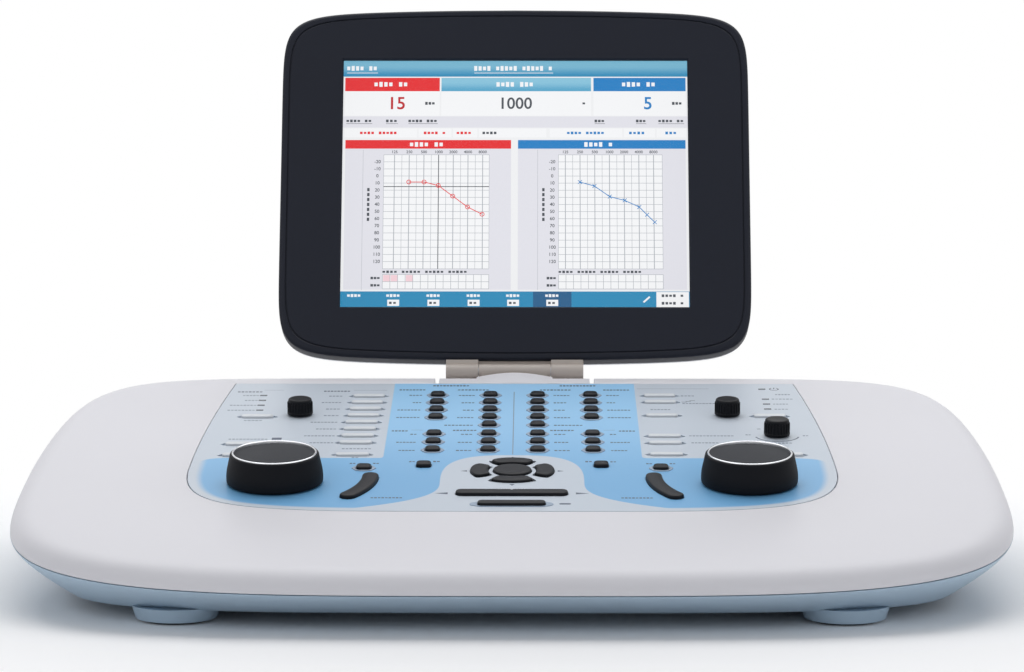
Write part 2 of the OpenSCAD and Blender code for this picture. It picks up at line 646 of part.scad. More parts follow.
stem_half = knuckle_x - 1.8;
stem_t = 2.5;
stem_clear = 0.5;
stem_y = hinge_y - 4.9;
shelf_z = up(base_l - 4, -seam_depth - 8)[1];
leg_y = hinge_y - 16;
module hinge_bracket() color("rosybrown") console() difference() {
    union() {
        translate([-knuckle_x, hinge_y, hinge_z]) rotate([0, 90, 0])
            cylinder(r = barrel_r, h = 2*knuckle_x, $fn = 48);
        translate([-stem_half, stem_y, shelf_z]) cube([2*stem_half, stem_t, hinge_z - shelf_z]);
        translate([-stem_half, leg_y, shelf_z]) cube([2*stem_half, stem_y + stem_t - leg_y, 4]);
        translate([-stem_half - 16, leg_y, bracket_z]) cube([2*stem_half + 32, 4, shelf_z + 4 - bracket_z]);
        translate([-stem_half - 16, bracket_post[1] - 8, bracket_z])
            cube([2*stem_half + 32, leg_y + 4 - bracket_post[1] + 8, 3.6]);
    }
    for (side = [-1, 1]) translate([side < 0 ? -knuckle_x - 1 : pin_inner, hinge_y, hinge_z])
        rotate([0, 90, 0]) cylinder(d = pin_d, h = knuckle_x + 1 - pin_inner, $fn = 32);
    at_bracket_posts() translate([0, 0, bracket_z - 1]) cylinder(r = screw_r + screw_clear, h = 6, $fn = 24);
}
pin_inner = 6;
module hinge_pins() color("silver") console() for (side = [-1, 1])
    translate([side < 0 ? -barrel_x + 0.5 : pin_inner, hinge_y, hinge_z]) rotate([0, 90, 0])
        cylinder(d = pin_d, h = barrel_x - 0.5 - pin_inner, $fn = 32);

tray_fit = 0.25;
panel_sink = 1.2;
back_y = up(base_l)[0] - recess_depth;
jack_z = (recess_low + recess_high)/2;
jack_places = [for (i = [0:jack_count - 1]) -112 + i*jack_pitch];
inlet_x = 112;
// Point just inside the tray's rear face at height z, as [y, z]
function rear_point(z) = let (s = up(base_l, -seam_depth), u = (s[1] - z)/(s[1] - floor_z))
    [s[0] - panel_sink - tray_inset*pow(u, tray_power), z];
module rear_panel() color("gainsboro") console() difference() {
    translate([-recess_x + tray_fit, back_y - 3, recess_low + tray_fit])
        cube([2*(recess_x - tray_fit), 40, recess_high - recess_low - 2*tray_fit]);
    translate([-recess_x + tray_fit + 2, back_y, recess_low + tray_fit + 2])
        cube([2*(recess_x - tray_fit - 2), 60, recess_high - recess_low - 2*tray_fit - 4]);
    rotate([90, 0, 90]) translate([0, 0, -recess_x]) linear_extrude(2*recess_x)
        polygon([rear_point(recess_low - 10), [up(base_l)[0] + 40, recess_low - 10],
            [up(base_l)[0] + 40, recess_high + 10], rear_point(recess_high + 10)]);
    for (x = jack_places) translate([x, back_y + 1, jack_z]) rotate([90, 0, 0])
        cylinder(r = 4.8, h = 5, $fn = 32);
    translate([inlet_x - 5.2, back_y - 4, jack_z - 5.7]) cube([10.4, 5, 11.4]);
}
module phone_jacks() color("gray") console() for (x = jack_places)
    translate([x, back_y + 3, jack_z]) difference() {
        union() {
            rotate([90, 0, 0]) cylinder(r = 4.6, h = 6.5, $fn = 48);
            translate([0, -1, 0]) rotate([90, 30, 0]) cylinder(r = 6.6, h = 2, $fn = 6);
            translate([-5.5, -6 - jack_l, -5.5]) cube([11, jack_l, 11]);
        }
        translate([0, 1, 0]) rotate([90, 0, 0]) cylinder(d = jack_bore, h = jack_l + 1, $fn = 48);
    }
module power_inlet() color("dimgray") console() translate([inlet_x, back_y + 2, jack_z]) difference() {
    union() {
        translate([-5, -16, -5.5]) cube([10, 16, 11]);
        translate([-7, -18, -7.5]) cube([14, 13 - eps, 15]);
    }
    translate([0, 1, 0]) rotate([90, 0, 0]) cylinder(r = 3.2, h = 11, $fn = 48);
}

// ---- boards and speaker -------------------------------------------------------------
main_board_z = 18;
main_board_y = [plate_front, base_l - post_rear_back - 10];
main_board_x = 150;
chip_w = 24;
chip_h = 2.4;
can_r = 4;
can_h = 9;
socket_w = 120;
socket_h = 8;
board_posts = [for (x = [-main_board_x + 8, main_board_x - 8], y = [main_board_y[0] + 8, main_board_y[1] - 20])
    [x, y]];
module main_board() color("darkgreen") console() {
    translate([-main_board_x, main_board_y[0], main_board_z])
        cube([2*main_board_x, main_board_y[1] - main_board_y[0], board_t]);
    for (x = [-90, -20, 60]) translate([x, main_board_y[0] + 68, main_board_z + board_t - eps])
        cube([chip_w, chip_w, chip_h]);
    for (x = [-110:20:110]) translate([x, main_board_y[1] - 28, main_board_z + board_t - eps])
        cylinder(r = can_r, h = can_h, $fn = 24);
    translate([-socket_w/2, main_board_y[1] - 78, main_board_z + board_t - eps])
        cube([socket_w, socket_h, socket_h]);
}
speaker_inset = 71;
speaker_r = 26;
speaker_lip = 4;
speaker_rim_h = 4;
speaker_cone_h = 9;
speaker_magnet_r = 15;
speaker_magnet_h = 8;
module monitor_speaker() color("slategray") console()
    translate([speaker_inset - base_w/2, widest_at + 3, floor_z + wall]) {
        difference() {
            cylinder(r = speaker_r, h = speaker_rim_h, $fn = 64);
            translate([0, 0, -1]) cylinder(r = speaker_r - speaker_lip, h = 2, $fn = 64);
        }
        translate([0, 0, speaker_rim_h - eps])
            cylinder(r1 = speaker_r - 3, r2 = speaker_magnet_r - 2, h = speaker_cone_h, $fn = 64);
        translate([0, 0, speaker_rim_h + speaker_cone_h - 2*eps])
            cylinder(r = speaker_magnet_r, h = speaker_magnet_h, $fn = 64);
    }
key_board_x = 158;
module key_board() color("darkolivegreen") on_slope()
    translate([-key_board_x, plate_front + 5, -board_depth - board_t])
        cube([2*key_board_x, plate_rear - plate_front - 14, board_t]);
switch_h = 5;
module key_switches() color("black") on_slope()
    at(concat(round_keys, long_places, single_stems))
        translate([-2.5, -2.5, -board_depth]) cube([5, 5, switch_h]);

// ---- control plate ------------------------------------------------------------------
spacer_r = 3;
spacer_places = [for (side = [-1, 1], p = [[108, plate_rear - 24], [62, upper_row_v - 70],
    [30, plate_rear - 26], [dial_x + 20, dial_v + 36], [108, lower_row_v - 22]]) [side*p[0], p[1]]];
light_x = 149.2;
light_back = 28.1;
light_pitch = 11;
light_places = concat(
    [for (i = [0:3]) [-light_x, plate_rear - light_back - light_pitch*i]],
    [for (i = [0:2]) [light_x, plate_rear - light_back - 7.5 - light_pitch*i]],
    [[light_x - 0.8, plate_rear - 12.9]]);
light_w = 4.2;
light_l = 2;
module key_holes() offset(delta = key_gap) {
    at(round_keys) black_shape();
    at(long_places) long_shape();
    at([[0, pad_v]]) centre_shape();
    at_arcs() arc_shape();
    at([[0, freq_v]]) freq_shape();
    at([[0, save_v]]) save_shape();
    at_present() present_shape();
}
module plate_shape() offset(delta = -plate_gap)
    polygon([for (t = station_angles(stations)) plate_edge(t)]);
module plate_layer(z0, z1) translate([0, 0, z0]) linear_extrude(z1 - z0) difference() {
    plate_shape();
    key_holes();
    at(light_places) square([light_w + 0.2, light_l + 0.2], center = true);
    children();
}
module control_panel() color("lightblue") on_slope() difference() {
    union() {
        plate_layer(-plate_t, -recess_t);
        plate_layer(-recess_t, 0) at(long_places) polygon(lens(recess_w, recess_l));
        at(spacer_places) translate([0, 0, -board_depth])
            cylinder(r = spacer_r, h = board_depth - plate_t + eps, $fn = 24);
    }
    at(concat(dial_places, knob_places)) translate([0, 0, -plate_t - 1])
        cylinder(r = bushing_r + 0.3, h = plate_t + 2, $fn = 32);
}
module key_collars() color("slategray") on_slope() linear_extrude(collar_h) difference() {
    at(collar_places) polygon(lens(collar_w, collar_l));
    offset(delta = key_gap) at(collar_places) black_shape();
}
module status_lights() color("lightgreen") on_slope() at(light_places)
    translate([-light_w/2, -light_l/2, -board_depth]) cube([light_w, light_l, board_depth + 0.2]);

// ---- dials and knobs ----------------------------------------------------------------
bushing_r = 4.6;
ring_floor = dial_h - 2.6;
module encoders() color("silver") on_slope() {
    for (p = dial_places) translate([p[0], p[1], 0]) encoder(shaft_d);
    for (p = knob_places) translate([p[0], p[1], 0]) encoder(knob_shaft_d);
}
module encoder(d) difference() {
    union() {
        translate([-7, -7, -board_depth]) cube([14, 14, board_depth - plate_t - 0.1]);
        translate([0, 0, -plate_t - 0.2]) cylinder(r = bushing_r, h = plate_t + 0.1, $fn = 48);
    }
    translate([0, 0, -board_depth + 1.5]) cylinder(r = d/2 + shaft_clear, h = board_depth, $fn = 48);
}
shaft_bottom = -board_depth + 2;
module dial_body() difference() {
    rotate_extrude($fn = 96) polygon([[0, dial_h - 7], [dial_d/2 - 4.5, dial_h - 7],
        [dial_d/2 - 3, dial_gap], [dial_d/2 - 0.6, dial_gap], [dial_d/2, dial_gap + 1.2],
        [dial_d/2 - 0.3, dial_gap + 5], [(dial_d*0.3 + dial_top_d*0.7)/2, dial_h*0.72],
        [dial_top_d/2, dial_h - 1.4], [dial_top_d/2 - 0.7, dial_h],
        [ring_d/2, dial_h], [ring_d/2, ring_floor], [0, ring_floor]]);
    translate([0, 0, dial_h - 8]) cylinder(d = shaft_d, h = 8, $fn = 48);
}
module dial_hub() difference() {
    translate([0, 0, dial_gap]) cylinder(r = 6.5, h = dial_h - 7 - dial_gap + eps, $fn = 48);
    translate([0, 0, -1]) cylinder(d = shaft_d, h = dial_h, $fn = 48);
}
module dial_at(side) on_slope() translate([side*dial_x, dial_v, 0]) children();
module big_dial() { dial_body(); dial_hub(); }
module dial_ring() rotate_extrude($fn = 96) polygon([
    [ring_d/2 - ring_w, ring_floor], [ring_d/2, ring_floor], [ring_d/2, dial_h],
    [ring_d/2 - 0.5, dial_h + 0.5], [ring_d/2 - ring_w + 0.4, dial_h + 0.5],
    [ring_d/2 - ring_w, dial_h + 0.1]]);
module dial_cap() rotate_extrude($fn = 96) polygon(concat(
    [[0, ring_floor], [ring_d/2 - ring_w, ring_floor]],
    [for (i = [0:6]) let (k = 1 - i/6) [(ring_d/2 - ring_w)*k, dial_h - 0.3 - 0.9*k*k]]));
module dial_shaft() translate([0, 0, shaft_bottom])
    cylinder(d = shaft_d, h = ring_floor - shaft_bottom, $fn = 48);
module left_dial() color("darkslategray") dial_at(-1) big_dial();
module left_dial_ring() color("silver") dial_at(-1) dial_ring();
module left_dial_cap() color("black") dial_at(-1) dial_cap();
module left_dial_shaft() color("lightgray") dial_at(-1) dial_shaft();
module right_dial() color("darkslategray") dial_at(1) big_dial();
module right_dial_ring() color("silver") dial_at(1) dial_ring();
module right_dial_cap() color("black") dial_at(1) dial_cap();
module right_dial_shaft() color("lightgray") dial_at(1) dial_shaft();
module small_knob(place) color("black") on_slope() translate([place[0], place[1], 0]) {
    rotate_extrude($fn = 72) polygon([[0, dial_gap], [knob_d/2 - 0.3, dial_gap],
        [knob_d/2, dial_gap + 0.6], [knob_d/2 - 0.2, knob_h - 0.9], [knob_d/2 - 1, knob_h - 0.1],
        [knob_d/2 - 2, knob_h], [0, knob_h]]);
    translate([0, 0, shaft_bottom])
        cylinder(d = knob_shaft_d, h = dial_gap - shaft_bottom + eps, $fn = 48);
}
module monitor_knob() small_knob(knob_places[0]);
module talk_level_knob() small_knob(knob_places[1]);
module power_level_knob() small_knob(knob_places[2]);

// ---- single keys --------------------------------------------------------------------
module pad_key(a) color("black") on_slope() translate([0, pad_v, 0]) rotate([0, 0, a])
    key(pad_h, [arc_r, 0]) arc_shape();
module pad_right() pad_key(0);
module pad_up() pad_key(90);
module pad_left() pad_key(180);
module pad_down() pad_key(270);
module pad_centre() color("black") on_slope() at([[0, pad_v]]) key(pad_h) centre_shape();
module frequency_bar() color("black") on_slope() at([[0, freq_v]]) key(bar_h) freq_shape();
module save_bar() color("black") on_slope() at([[0, save_v]]) key(bar_h) save_shape();
module present_bar(side) color("black") on_slope() mirror([side < 0 ? 1 : 0, 0, 0])
    translate([present_x, present_v, 0])
        key(present_h, present_mid - [present_x, present_v]) present_shape();
module left_present_bar() present_bar(-1);
module right_present_bar() present_bar(1);
module left_interrupt_key() color("black") black_keys([[-interrupt_x, interrupt_v]]);
module right_interrupt_key() color("black") black_keys([[interrupt_x, interrupt_v]]);
module left_talk_key() color("black") black_keys([[-talk_x, talk_v]]);
module right_talk_key() color("black") black_keys([[talk_x, talk_v]]);
module left_stimulus_keys() color("black") black_keys(flip(outer_upper));
module left_noise_keys() color("black") black_keys(flip(outer_lower));
module left_output_keys() color("black") black_keys(flip(inner_upper));
module left_routing_keys() color("black") black_keys(flip(inner_lower));
module right_stimulus_keys() color("black") black_keys(outer_upper);
module right_noise_keys() color("black") black_keys(outer_lower);
module right_output_keys() color("black") black_keys(inner_upper);
module right_routing_keys() color("black") black_keys(inner_lower);
module left_test_keys() color("gainsboro") long_keys(left_test);
module left_side_keys() color("gainsboro") long_keys(left_side);
module right_test_keys() color("gainsboro") long_keys(right_test);

// ---- screen -------------------------------------------------------------------------
screen_mid = foot_rise + screen_h/2;
lcd_mid = screen_mid + lcd_rise;
glass_y = face_y + face_t;
module_y = glass_y + glass_t;
module_back = module_y + module_t;
function screen_ring(inset, y, n = screen_stations) = [for (t = station_angles(n)) let (
    q = squared(t, screen_power, screen_crowd))
    [q[0]*(screen_w/2 - inset), y,
     screen_mid + q[1]*(screen_h/2 - inset - screen_bow*q[0]*q[0])]];
module screen_shape(inset) translate([0, screen_mid])
    polygon([for (t = station_angles(screen_stations)) let (
        q = squared(t, screen_power, screen_crowd)) [q[0]*(screen_w/2 - inset), q[1]*(screen_h/2 - inset - screen_bow*q[0]*q[0])]]);
neck_x = barrel_x;
web_y = [5.9, module_back - 0.3];
module display_bezel() color("midnightblue") on_screen() difference() {
    upright(face_y, seam_y) screen_shape(0);
    upright(glass_y, seam_y + 1) screen_shape(screen_wall);
    translate([-lcd_w/2, face_y - 1, lcd_mid - lcd_h/2]) cube([lcd_w, face_t + 2, lcd_h]);
    translate([-neck_x - 0.5, web_y[0] - 0.4, foot_rise - 1])
        cube([2*neck_x + 1, seam_y, screen_wall + 5]);
}
module display_back() color("lightgray") on_screen() difference() {
    tray_solid(concat(
        [for (j = [back_steps:-1:0]) let (a = 90*j/back_steps)
            screen_ring(back_inset*(1 - cos(a)), seam_y + back_depth*sin(a))],
        [for (j = [0:3]) let (a = 30*j)
            screen_ring(screen_wall + back_inset*(1 - cos(a)),
                seam_y + (back_depth - screen_wall)*sin(a))]));
    for (i = [0:vent_count - 1], z = vent_rows)
        translate([(i - (vent_count - 1)/2)*vent_pitch - vent_w/2, seam_y + back_depth - 6, z])
            cube([vent_w, 10, vent_l]);
    at_display_screws() translate([0, seam_y + back_depth + 1, 0]) rotate([90, 0, 0])
        cylinder(r = screw_r + screw_clear, h = 6, $fn = 24);
}
vent_count = 11;
vent_pitch = 12;
vent_w = 3;
vent_l = 20;
vent_rows = [screen_mid + 20, screen_mid + 45];
display_screw_places = [for (x = [-82, 82], z = [screen_mid - 44, screen_mid + 44]) [x, z]];
module at_display_screws() for (p = display_screw_places) translate([p[0], 0, p[1]]) children();
module display_screws() color("silver") on_screen() at_display_screws() {
    translate([0, seam_y + back_depth + 1.6, 0]) rotate([90, 0, 0])
        cylinder(r = screw_head_r, h = 1.6, $fn = 32);
    translate([0, seam_y + back_depth + eps, 0]) rotate([90, 0, 0])
        cylinder(r = screw_r, h = seam_y + back_depth - module_back, $fn = 24);
}
module screen_glass() color("lightcyan") on_screen()
    translate([-lcd_w/2 - 4, glass_y, lcd_mid - lcd_h/2 - 4]) cube([lcd_w + 8, glass_t, lcd_h + 8]);
module lcd_module() color("slategray") on_screen()
    translate([-module_w/2, module_y, lcd_mid - module_h/2]) cube([module_w, module_t, module_h]);
display_board_w = 120;
display_board_h = 44;
display_board_t = 3.6;
module display_board() color("darkgreen") on_screen() translate([0, module_back, screen_mid - 26]) {
    translate([-display_board_w/2, 0, 0]) cube([display_board_w, display_board_t, display_board_h]);
    translate([-display_board_w/3, display_board_t - eps, 8]) cube([chip_w, 4, chip_w]);
    translate([display_board_w/12, display_board_t - eps, 8]) cube([chip_w + 6, 6, chip_w/2]);
}
module neck() color("rosybrown") on_screen() difference() {
    union() {
        for (side = [-1, 1]) translate([side < 0 ? -barrel_x : knuckle_x + knuckle_gap, 0, 0]) {
            rotate([0, 90, 0]) cylinder(r = barrel_r, h = barrel_x - knuckle_x - knuckle_gap, $fn = 48);
            cube([barrel_x - knuckle_x - knuckle_gap, web_y[1], foot_rise - 0.5]);
        }
        translate([-neck_x, web_y[0], 0]) cube([2*neck_x, web_y[1] - web_y[0], 30]);
        translate([-neck_x, web_y[0], 16]) cube([2*neck_x, module_back + 3 - web_y[0], 12]);
        translate([-neck_x, module_back, 16]) cube([2*neck_x, 3, 66]);
    }
    for (side = [-1, 1]) translate([side*(barrel_x + knuckle_x)/2 - 20, 0, 0]) rotate([0, 90, 0])
        cylinder(r = pin_d/2 + shaft_clear, h = 40, $fn = 48);
    translate([0, web_y[0] - 1, -55]) rotate([-90, 0, 0]) cylinder(r = 59.5, h = 20, $fn = 96);
}

bottom_shell();
top_shell();
foot_pads();
base_screws();
hinge_cover();
rear_panel();
phone_jacks();
power_inlet();
main_board();
monitor_speaker();
key_board();
key_switches();
encoders();
control_panel();
key_collars();
status_lights();
hinge_bracket();
hinge_pins();
neck();
display_bezel();
display_back();
screen_glass();
lcd_module();
display_board();
display_screws();
left_dial();
left_dial_ring();
left_dial_cap();
left_dial_shaft();
right_dial();
right_dial_ring();
right_dial_cap();
right_dial_shaft();
monitor_knob();
talk_level_knob();
power_level_knob();
pad_up();
pad_down();
pad_left();
pad_right();
pad_centre();
frequency_bar();
save_bar();
left_present_bar();
right_present_bar();
left_interrupt_key();
right_interrupt_key();
left_talk_key();
right_talk_key();
left_stimulus_keys();
left_noise_keys();
left_output_keys();
left_routing_keys();
right_stimulus_keys();
right_noise_keys();
right_output_keys();
right_routing_keys();
left_test_keys();
left_side_keys();
right_test_keys();
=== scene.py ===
# Looks of a desktop two-channel audiometer: wedge console, control plate, folding screen.
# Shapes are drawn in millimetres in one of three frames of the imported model: the console
# frame stands on the floor, the plate frame lies in the sloping top surface, and the screen
# frame turns with the hinge. Every piece is put into metres when its mesh is final.
import math

import bmesh
import bpy
from mathutils import Matrix, Vector


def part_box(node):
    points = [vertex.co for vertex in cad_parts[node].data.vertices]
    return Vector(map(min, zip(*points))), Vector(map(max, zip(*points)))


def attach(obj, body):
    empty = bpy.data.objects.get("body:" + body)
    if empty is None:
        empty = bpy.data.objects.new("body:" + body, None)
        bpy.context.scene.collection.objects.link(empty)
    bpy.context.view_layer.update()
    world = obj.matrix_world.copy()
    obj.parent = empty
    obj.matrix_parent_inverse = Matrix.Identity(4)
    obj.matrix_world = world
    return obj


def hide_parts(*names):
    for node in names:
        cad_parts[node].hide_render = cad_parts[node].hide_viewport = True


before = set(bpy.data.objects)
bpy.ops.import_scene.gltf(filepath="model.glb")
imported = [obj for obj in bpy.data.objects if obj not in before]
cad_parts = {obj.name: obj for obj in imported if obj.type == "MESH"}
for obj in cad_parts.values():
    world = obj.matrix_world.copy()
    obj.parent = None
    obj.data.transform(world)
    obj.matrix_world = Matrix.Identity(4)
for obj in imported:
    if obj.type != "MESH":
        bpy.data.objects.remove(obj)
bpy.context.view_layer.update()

# ---- driving sizes, in millimetres and degrees ------------------------------------------
MM = 0.001
BASE_W = 542
BASE_L = 399
FRONT_H = 32.5
SLOPE = 8.7
WIDEST_AT = 187
FRONT_POWER = 3.85
REAR_POWER = 7.5
FRONT_DRAW = 3.4
REAR_DRAW = 19
WALL = 3
ROLL_W = 14
SEAM_DEPTH = 11
SEAM_GAP = 0.6
SEAM_INSET = 2.4
FLOOR_Z = 7.5
TRAY_INSET = 31
TRAY_POWER = 1.25
CROWD = 0.65
FOOT_X = 174
FOOT_FRONT_Y = 57
FOOT_REAR_Y = BASE_L - 77
FOOT_TOP_D = 47
FOOT_BOTTOM_D = 43
PAD_D = 34
PAD_T = 2.4
PAD_PROUD = 1.2
POSTS = [(BASE_W / 2 - 49, 96), (BASE_W / 2 - 45, WIDEST_AT + 45), (BASE_W / 2 - 59, BASE_L - 61)]
POST_R = 5
POST_SPLIT = 26
SCREW_R = 2.15
SCREW_HEAD_R = 3.75
SCREW_SINK = 5
RECESS_X = 150
RECESS_LOW = 18
RECESS_DROP = 31
RECESS_DEPTH = 29
HINGE_SLOT_X = 48.2

PLATE_W = 359.6
PLATE_REAR_W = 336
PLATE_FRONT = BASE_L - 288.2
PLATE_WIDE_AT = BASE_L - 213
PLATE_REAR = BASE_L - 23.6
PLATE_POWER = 5.3
PLATE_DRAW = 22
PLATE_BOW = 1.8
PLATE_T = 3
PLATE_GAP = 0.5
PLATE_REAR_ANGLE = 60
LEDGE_W = 4
LEDGE_T = 2

DIAL_X = 130
DIAL_V = BASE_L - 234
DIAL_D = 53
DIAL_TOP_D = 49
DIAL_H = 17
DIAL_GAP = 0.6
DIAL_EDGE = 1.3
RING_D = 46.6
RING_W = 1.1
HUB_R = 6.5
KNOB_D = 15
KNOB_H = 10
KNOB_RIBS = 26
KNOB_SHAFT_D = 4
KNOB_X = 124.8
KNOB_V = BASE_L - 94.5
LEVEL_KNOB_X = 151
LEVEL_KNOB_V = BASE_L - 138.5
SHAFT_BOTTOM = -11.5

FLANGE_W = 0.9
FLANGE_T = 1
FLANGE_TOP = -PLATE_T - 0.15
STEM_D = 2.6
STEM_L = 2.4
BLACK_W = 8.2
BLACK_L = 8.6
BLACK_H = 2.4
BLACK_R = 2.4
COLLAR_W = 13.6
COLLAR_L = 11.4
COLLAR_H = 0.6
KEY_GAP = 0.35
LONG_W = 18.6
LONG_L = 5
LONG_H = 1.2
LONG_LEAN = 0.031
INNER_COL_X = 14
OUTER_COL_X = 45.4
UPPER_ROW_V = BASE_L - 51.6
UPPER_PITCH = 16.5
LOWER_ROW_V = BASE_L - 136.6
LOWER_PITCH = 16.8
LONG_COL_X = 87
RIGHT_COL_X = 86.6
LONG_ROW_V = BASE_L - 53.2
LONG_PITCH = 14.5
LONE_KEY_V = BASE_L - 179.4
SIDE_KEY_X = 149.4
SIDE_KEY_V = BASE_L - 99.4
DIAL_KEY_X = 154
REAR_DIAL_KEY_V = BASE_L - 158
NEAR_DIAL_KEY_V = BASE_L - 180.6
INTERRUPT_X = 82.5
INTERRUPT_V = BASE_L - 206.6
TALK_X = 49.4
TALK_V = BASE_L - 200.8
PRESENT_W = 9
PRESENT_R = 70
PRESENT_ARC = 32
PRESENT_X = 78
PRESENT_V = BASE_L - 224.4
PRESENT_H = 2.4
PAD_V = BASE_L - 211.4
PAD_CENTRE_D = 21.4
PAD_IN_D = 27
PAD_OUT_D = 46.6
PAD_ARC = 66
PAD_H = 1.6
BAR_H = 2
FREQ_W = 61
FREQ_L = 8.4
FREQ_V = BASE_L - 255.4
SAVE_W = 36.6
SAVE_L = 6.8
SAVE_R = 2.6
SAVE_V = BASE_L - 275.2
INK_T = 0.03

SCREEN_W = 290.6
SCREEN_H = 228.4
SCREEN_POWER = 10.7
SCREEN_BOW = 4
SCREEN_CROWD = 0.4
TILT = 21.5
BEZEL_DEPTH = 11
BEZEL_R = 2.2
GROOVE_AT = 4
FACE_T = 1.6
SCREEN_WALL = 2.5
BACK_DEPTH = 24
BACK_INSET = 40
LCD_W = 214.6
LCD_H = 161
LCD_RISE = 0.3
GLASS_T = 1.1
GLASS_LAP = 4
HINGE_RISE = 1.2
FACE_Y = 2.5
FOOT_RISE = 8.1
NECK_X = 41.8
NECK_FRONT = 5.9
VENT_COUNT = 11
VENT_PITCH = 12
VENT_W = 3
VENT_L = 20

STATIONS = 384                  # points round a shell
SCREEN_STATIONS = 256           # points round the screen housing
SMOOTH_ANGLE = 32               # edges sharper than this stay sharp


# ---- places -----------------------------------------------------------------------------
def cosd(a):
    return math.cos(math.radians(a))


def sind(a):
    return math.sin(math.radians(a))


def polar(r, a):
    return r * cosd(a), r * sind(a)


def up(v, w=0):
    """Point of the plate frame as (y, z) of the console frame."""
    return v * cosd(SLOPE) - w * sind(SLOPE), FRONT_H + v * sind(SLOPE) + w * cosd(SLOPE)


pad_low, pad_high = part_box("foot_pads")
MID_Y = (FOOT_FRONT_Y + FOOT_REAR_Y) / 2 - (pad_low.y + pad_high.y) / 2 / MM
HINGE_Y, HINGE_Z = up(BASE_L, HINGE_RISE)
REAR_Y, REAR_Z = up(BASE_L)
SCREEN_MID = FOOT_RISE + SCREEN_H / 2
LCD_MID = SCREEN_MID + LCD_RISE
SEAM_Y = FACE_Y + BEZEL_DEPTH
BACK_Y = SEAM_Y + BACK_DEPTH
GLASS_Y = FACE_Y + FACE_T
MODULE_Y = GLASS_Y + GLASS_T
SIDES = (-1, 1)
FEET = [(side * FOOT_X, y) for side in SIDES for y in (FOOT_FRONT_Y, FOOT_REAR_Y)]
POST_PLACES = [(side * x, y) for x, y in POSTS for side in SIDES]
VENT_ROWS = (SCREEN_MID + 20, SCREEN_MID + 45)
SCREEN_SCREWS = [(x, SCREEN_MID + z) for x in (-82, 82) for z in (-44, 44)]

CONSOLE = Matrix.Scale(MM, 4) @ Matrix.Translation((0, -MID_Y, 0))
PLATE = (CONSOLE @ Matrix.Translation((0, 0, FRONT_H))
         @ Matrix.Rotation(math.radians(SLOPE), 4, "X"))
SCREEN = (CONSOLE @ Matrix.Translation((0, HINGE_Y, HINGE_Z))
          @ Matrix.Rotation(math.radians(-TILT), 4, "X"))


def stations(n):
    return [360 * i / n for i in range(n)]


# ---- outlines, the same rules as the solids ---------------------------------------------
def gathered(t, gather):
    """Cosine and sine of station angle t, with the stations gathered at the corners."""
    return tuple(math.copysign(abs(a) ** gather, a) for a in polar(1, t))


def squared(t, n, gather=CROWD):
    """Point of a squared circle at station angle t."""
    x, y = gathered(t, gather)
    k = (abs(x) ** n + abs(y) ** n) ** (-1 / n)
    return x * k, y * k


def rim(t):
    """Outline of the console at the seam, in the plate frame."""
    rear = sind(t) >= 0
    half = BASE_L - WIDEST_AT if rear else WIDEST_AT
    draw = REAR_DRAW if rear else FRONT_DRAW
    x, y = squared(t, REAR_POWER if rear else FRONT_POWER)
    return x * (BASE_W / 2 - draw * y * y), WIDEST_AT + y * half


def plate_side(k, side):
    x = side * (PLATE_W - (PLATE_W - PLATE_REAR_W) * k ** PLATE_BOW) / 2
    return x, PLATE_WIDE_AT + (PLATE_REAR - PLATE_WIDE_AT) * k


def plate_edge(t):
    """Outline of the control plate, in the plate frame."""
    t = t % 360
    if t > 180:
        x, y = squared(t, PLATE_POWER)
        return (x * (PLATE_W / 2 - PLATE_DRAW * y * y),
                PLATE_WIDE_AT + y * (PLATE_WIDE_AT - PLATE_FRONT))
    if t <= PLATE_REAR_ANGLE:
        return plate_side(t / PLATE_REAR_ANGLE, 1)
    if t >= 180 - PLATE_REAR_ANGLE:
        return plate_side((180 - t) / PLATE_REAR_ANGLE, -1)
    return PLATE_REAR_W / 2 * (90 - t) / (90 - PLATE_REAR_ANGLE), PLATE_REAR


def inward(outline, t, step):
    a, b = outline(t - step), outline(t + step)
    return Vector((a[1] - b[1], b[0] - a[0])).normalized()


def housing(t, drawn_in):
    """Outline of the screen housing as (x, z) of the screen frame."""
    x, z = squared(t, SCREEN_POWER, SCREEN_CROWD)
    return (x * (SCREEN_W / 2 - drawn_in),
            SCREEN_MID + z * (SCREEN_H / 2 - drawn_in - SCREEN_BOW * x * x))


def window(t, grow):
    """Outline of the picture opening, with the same stations as the housing."""
    x, z = gathered(t, SCREEN_CROWD)
    k = 1 / max(abs(x), abs(z))
    return x * k * (LCD_W / 2 + grow), LCD_MID + z * k * (LCD_H / 2 + grow)


def pill(w, l, r, steps=6):
    """Rounded rectangle."""
    points = []
    for quarter in range(4):
        cx = (w / 2 - r) * (1 if quarter in (0, 3) else -1)
        cy = (l / 2 - r) * (1 if quarter < 2 else -1)
        for i in range(steps + 1):
            x, y = polar(r, 90 * quarter + 90 * i / steps)
            points.append((cx + x, cy + y))
    return points


def lens(w, l):
    """Lens with blunt points left and right."""
    quarter = [(w / 2, 0.4), (w / 2 - 2.4, l / 2 - 0.9), (w / 2 - 4.2, l / 2 - 0.2),
               (w / 2 - 5.4, l / 2)]
    top = quarter + [(-x, y) for x, y in reversed(quarter)]
    return top + [(-x, -y) for x, y in top]


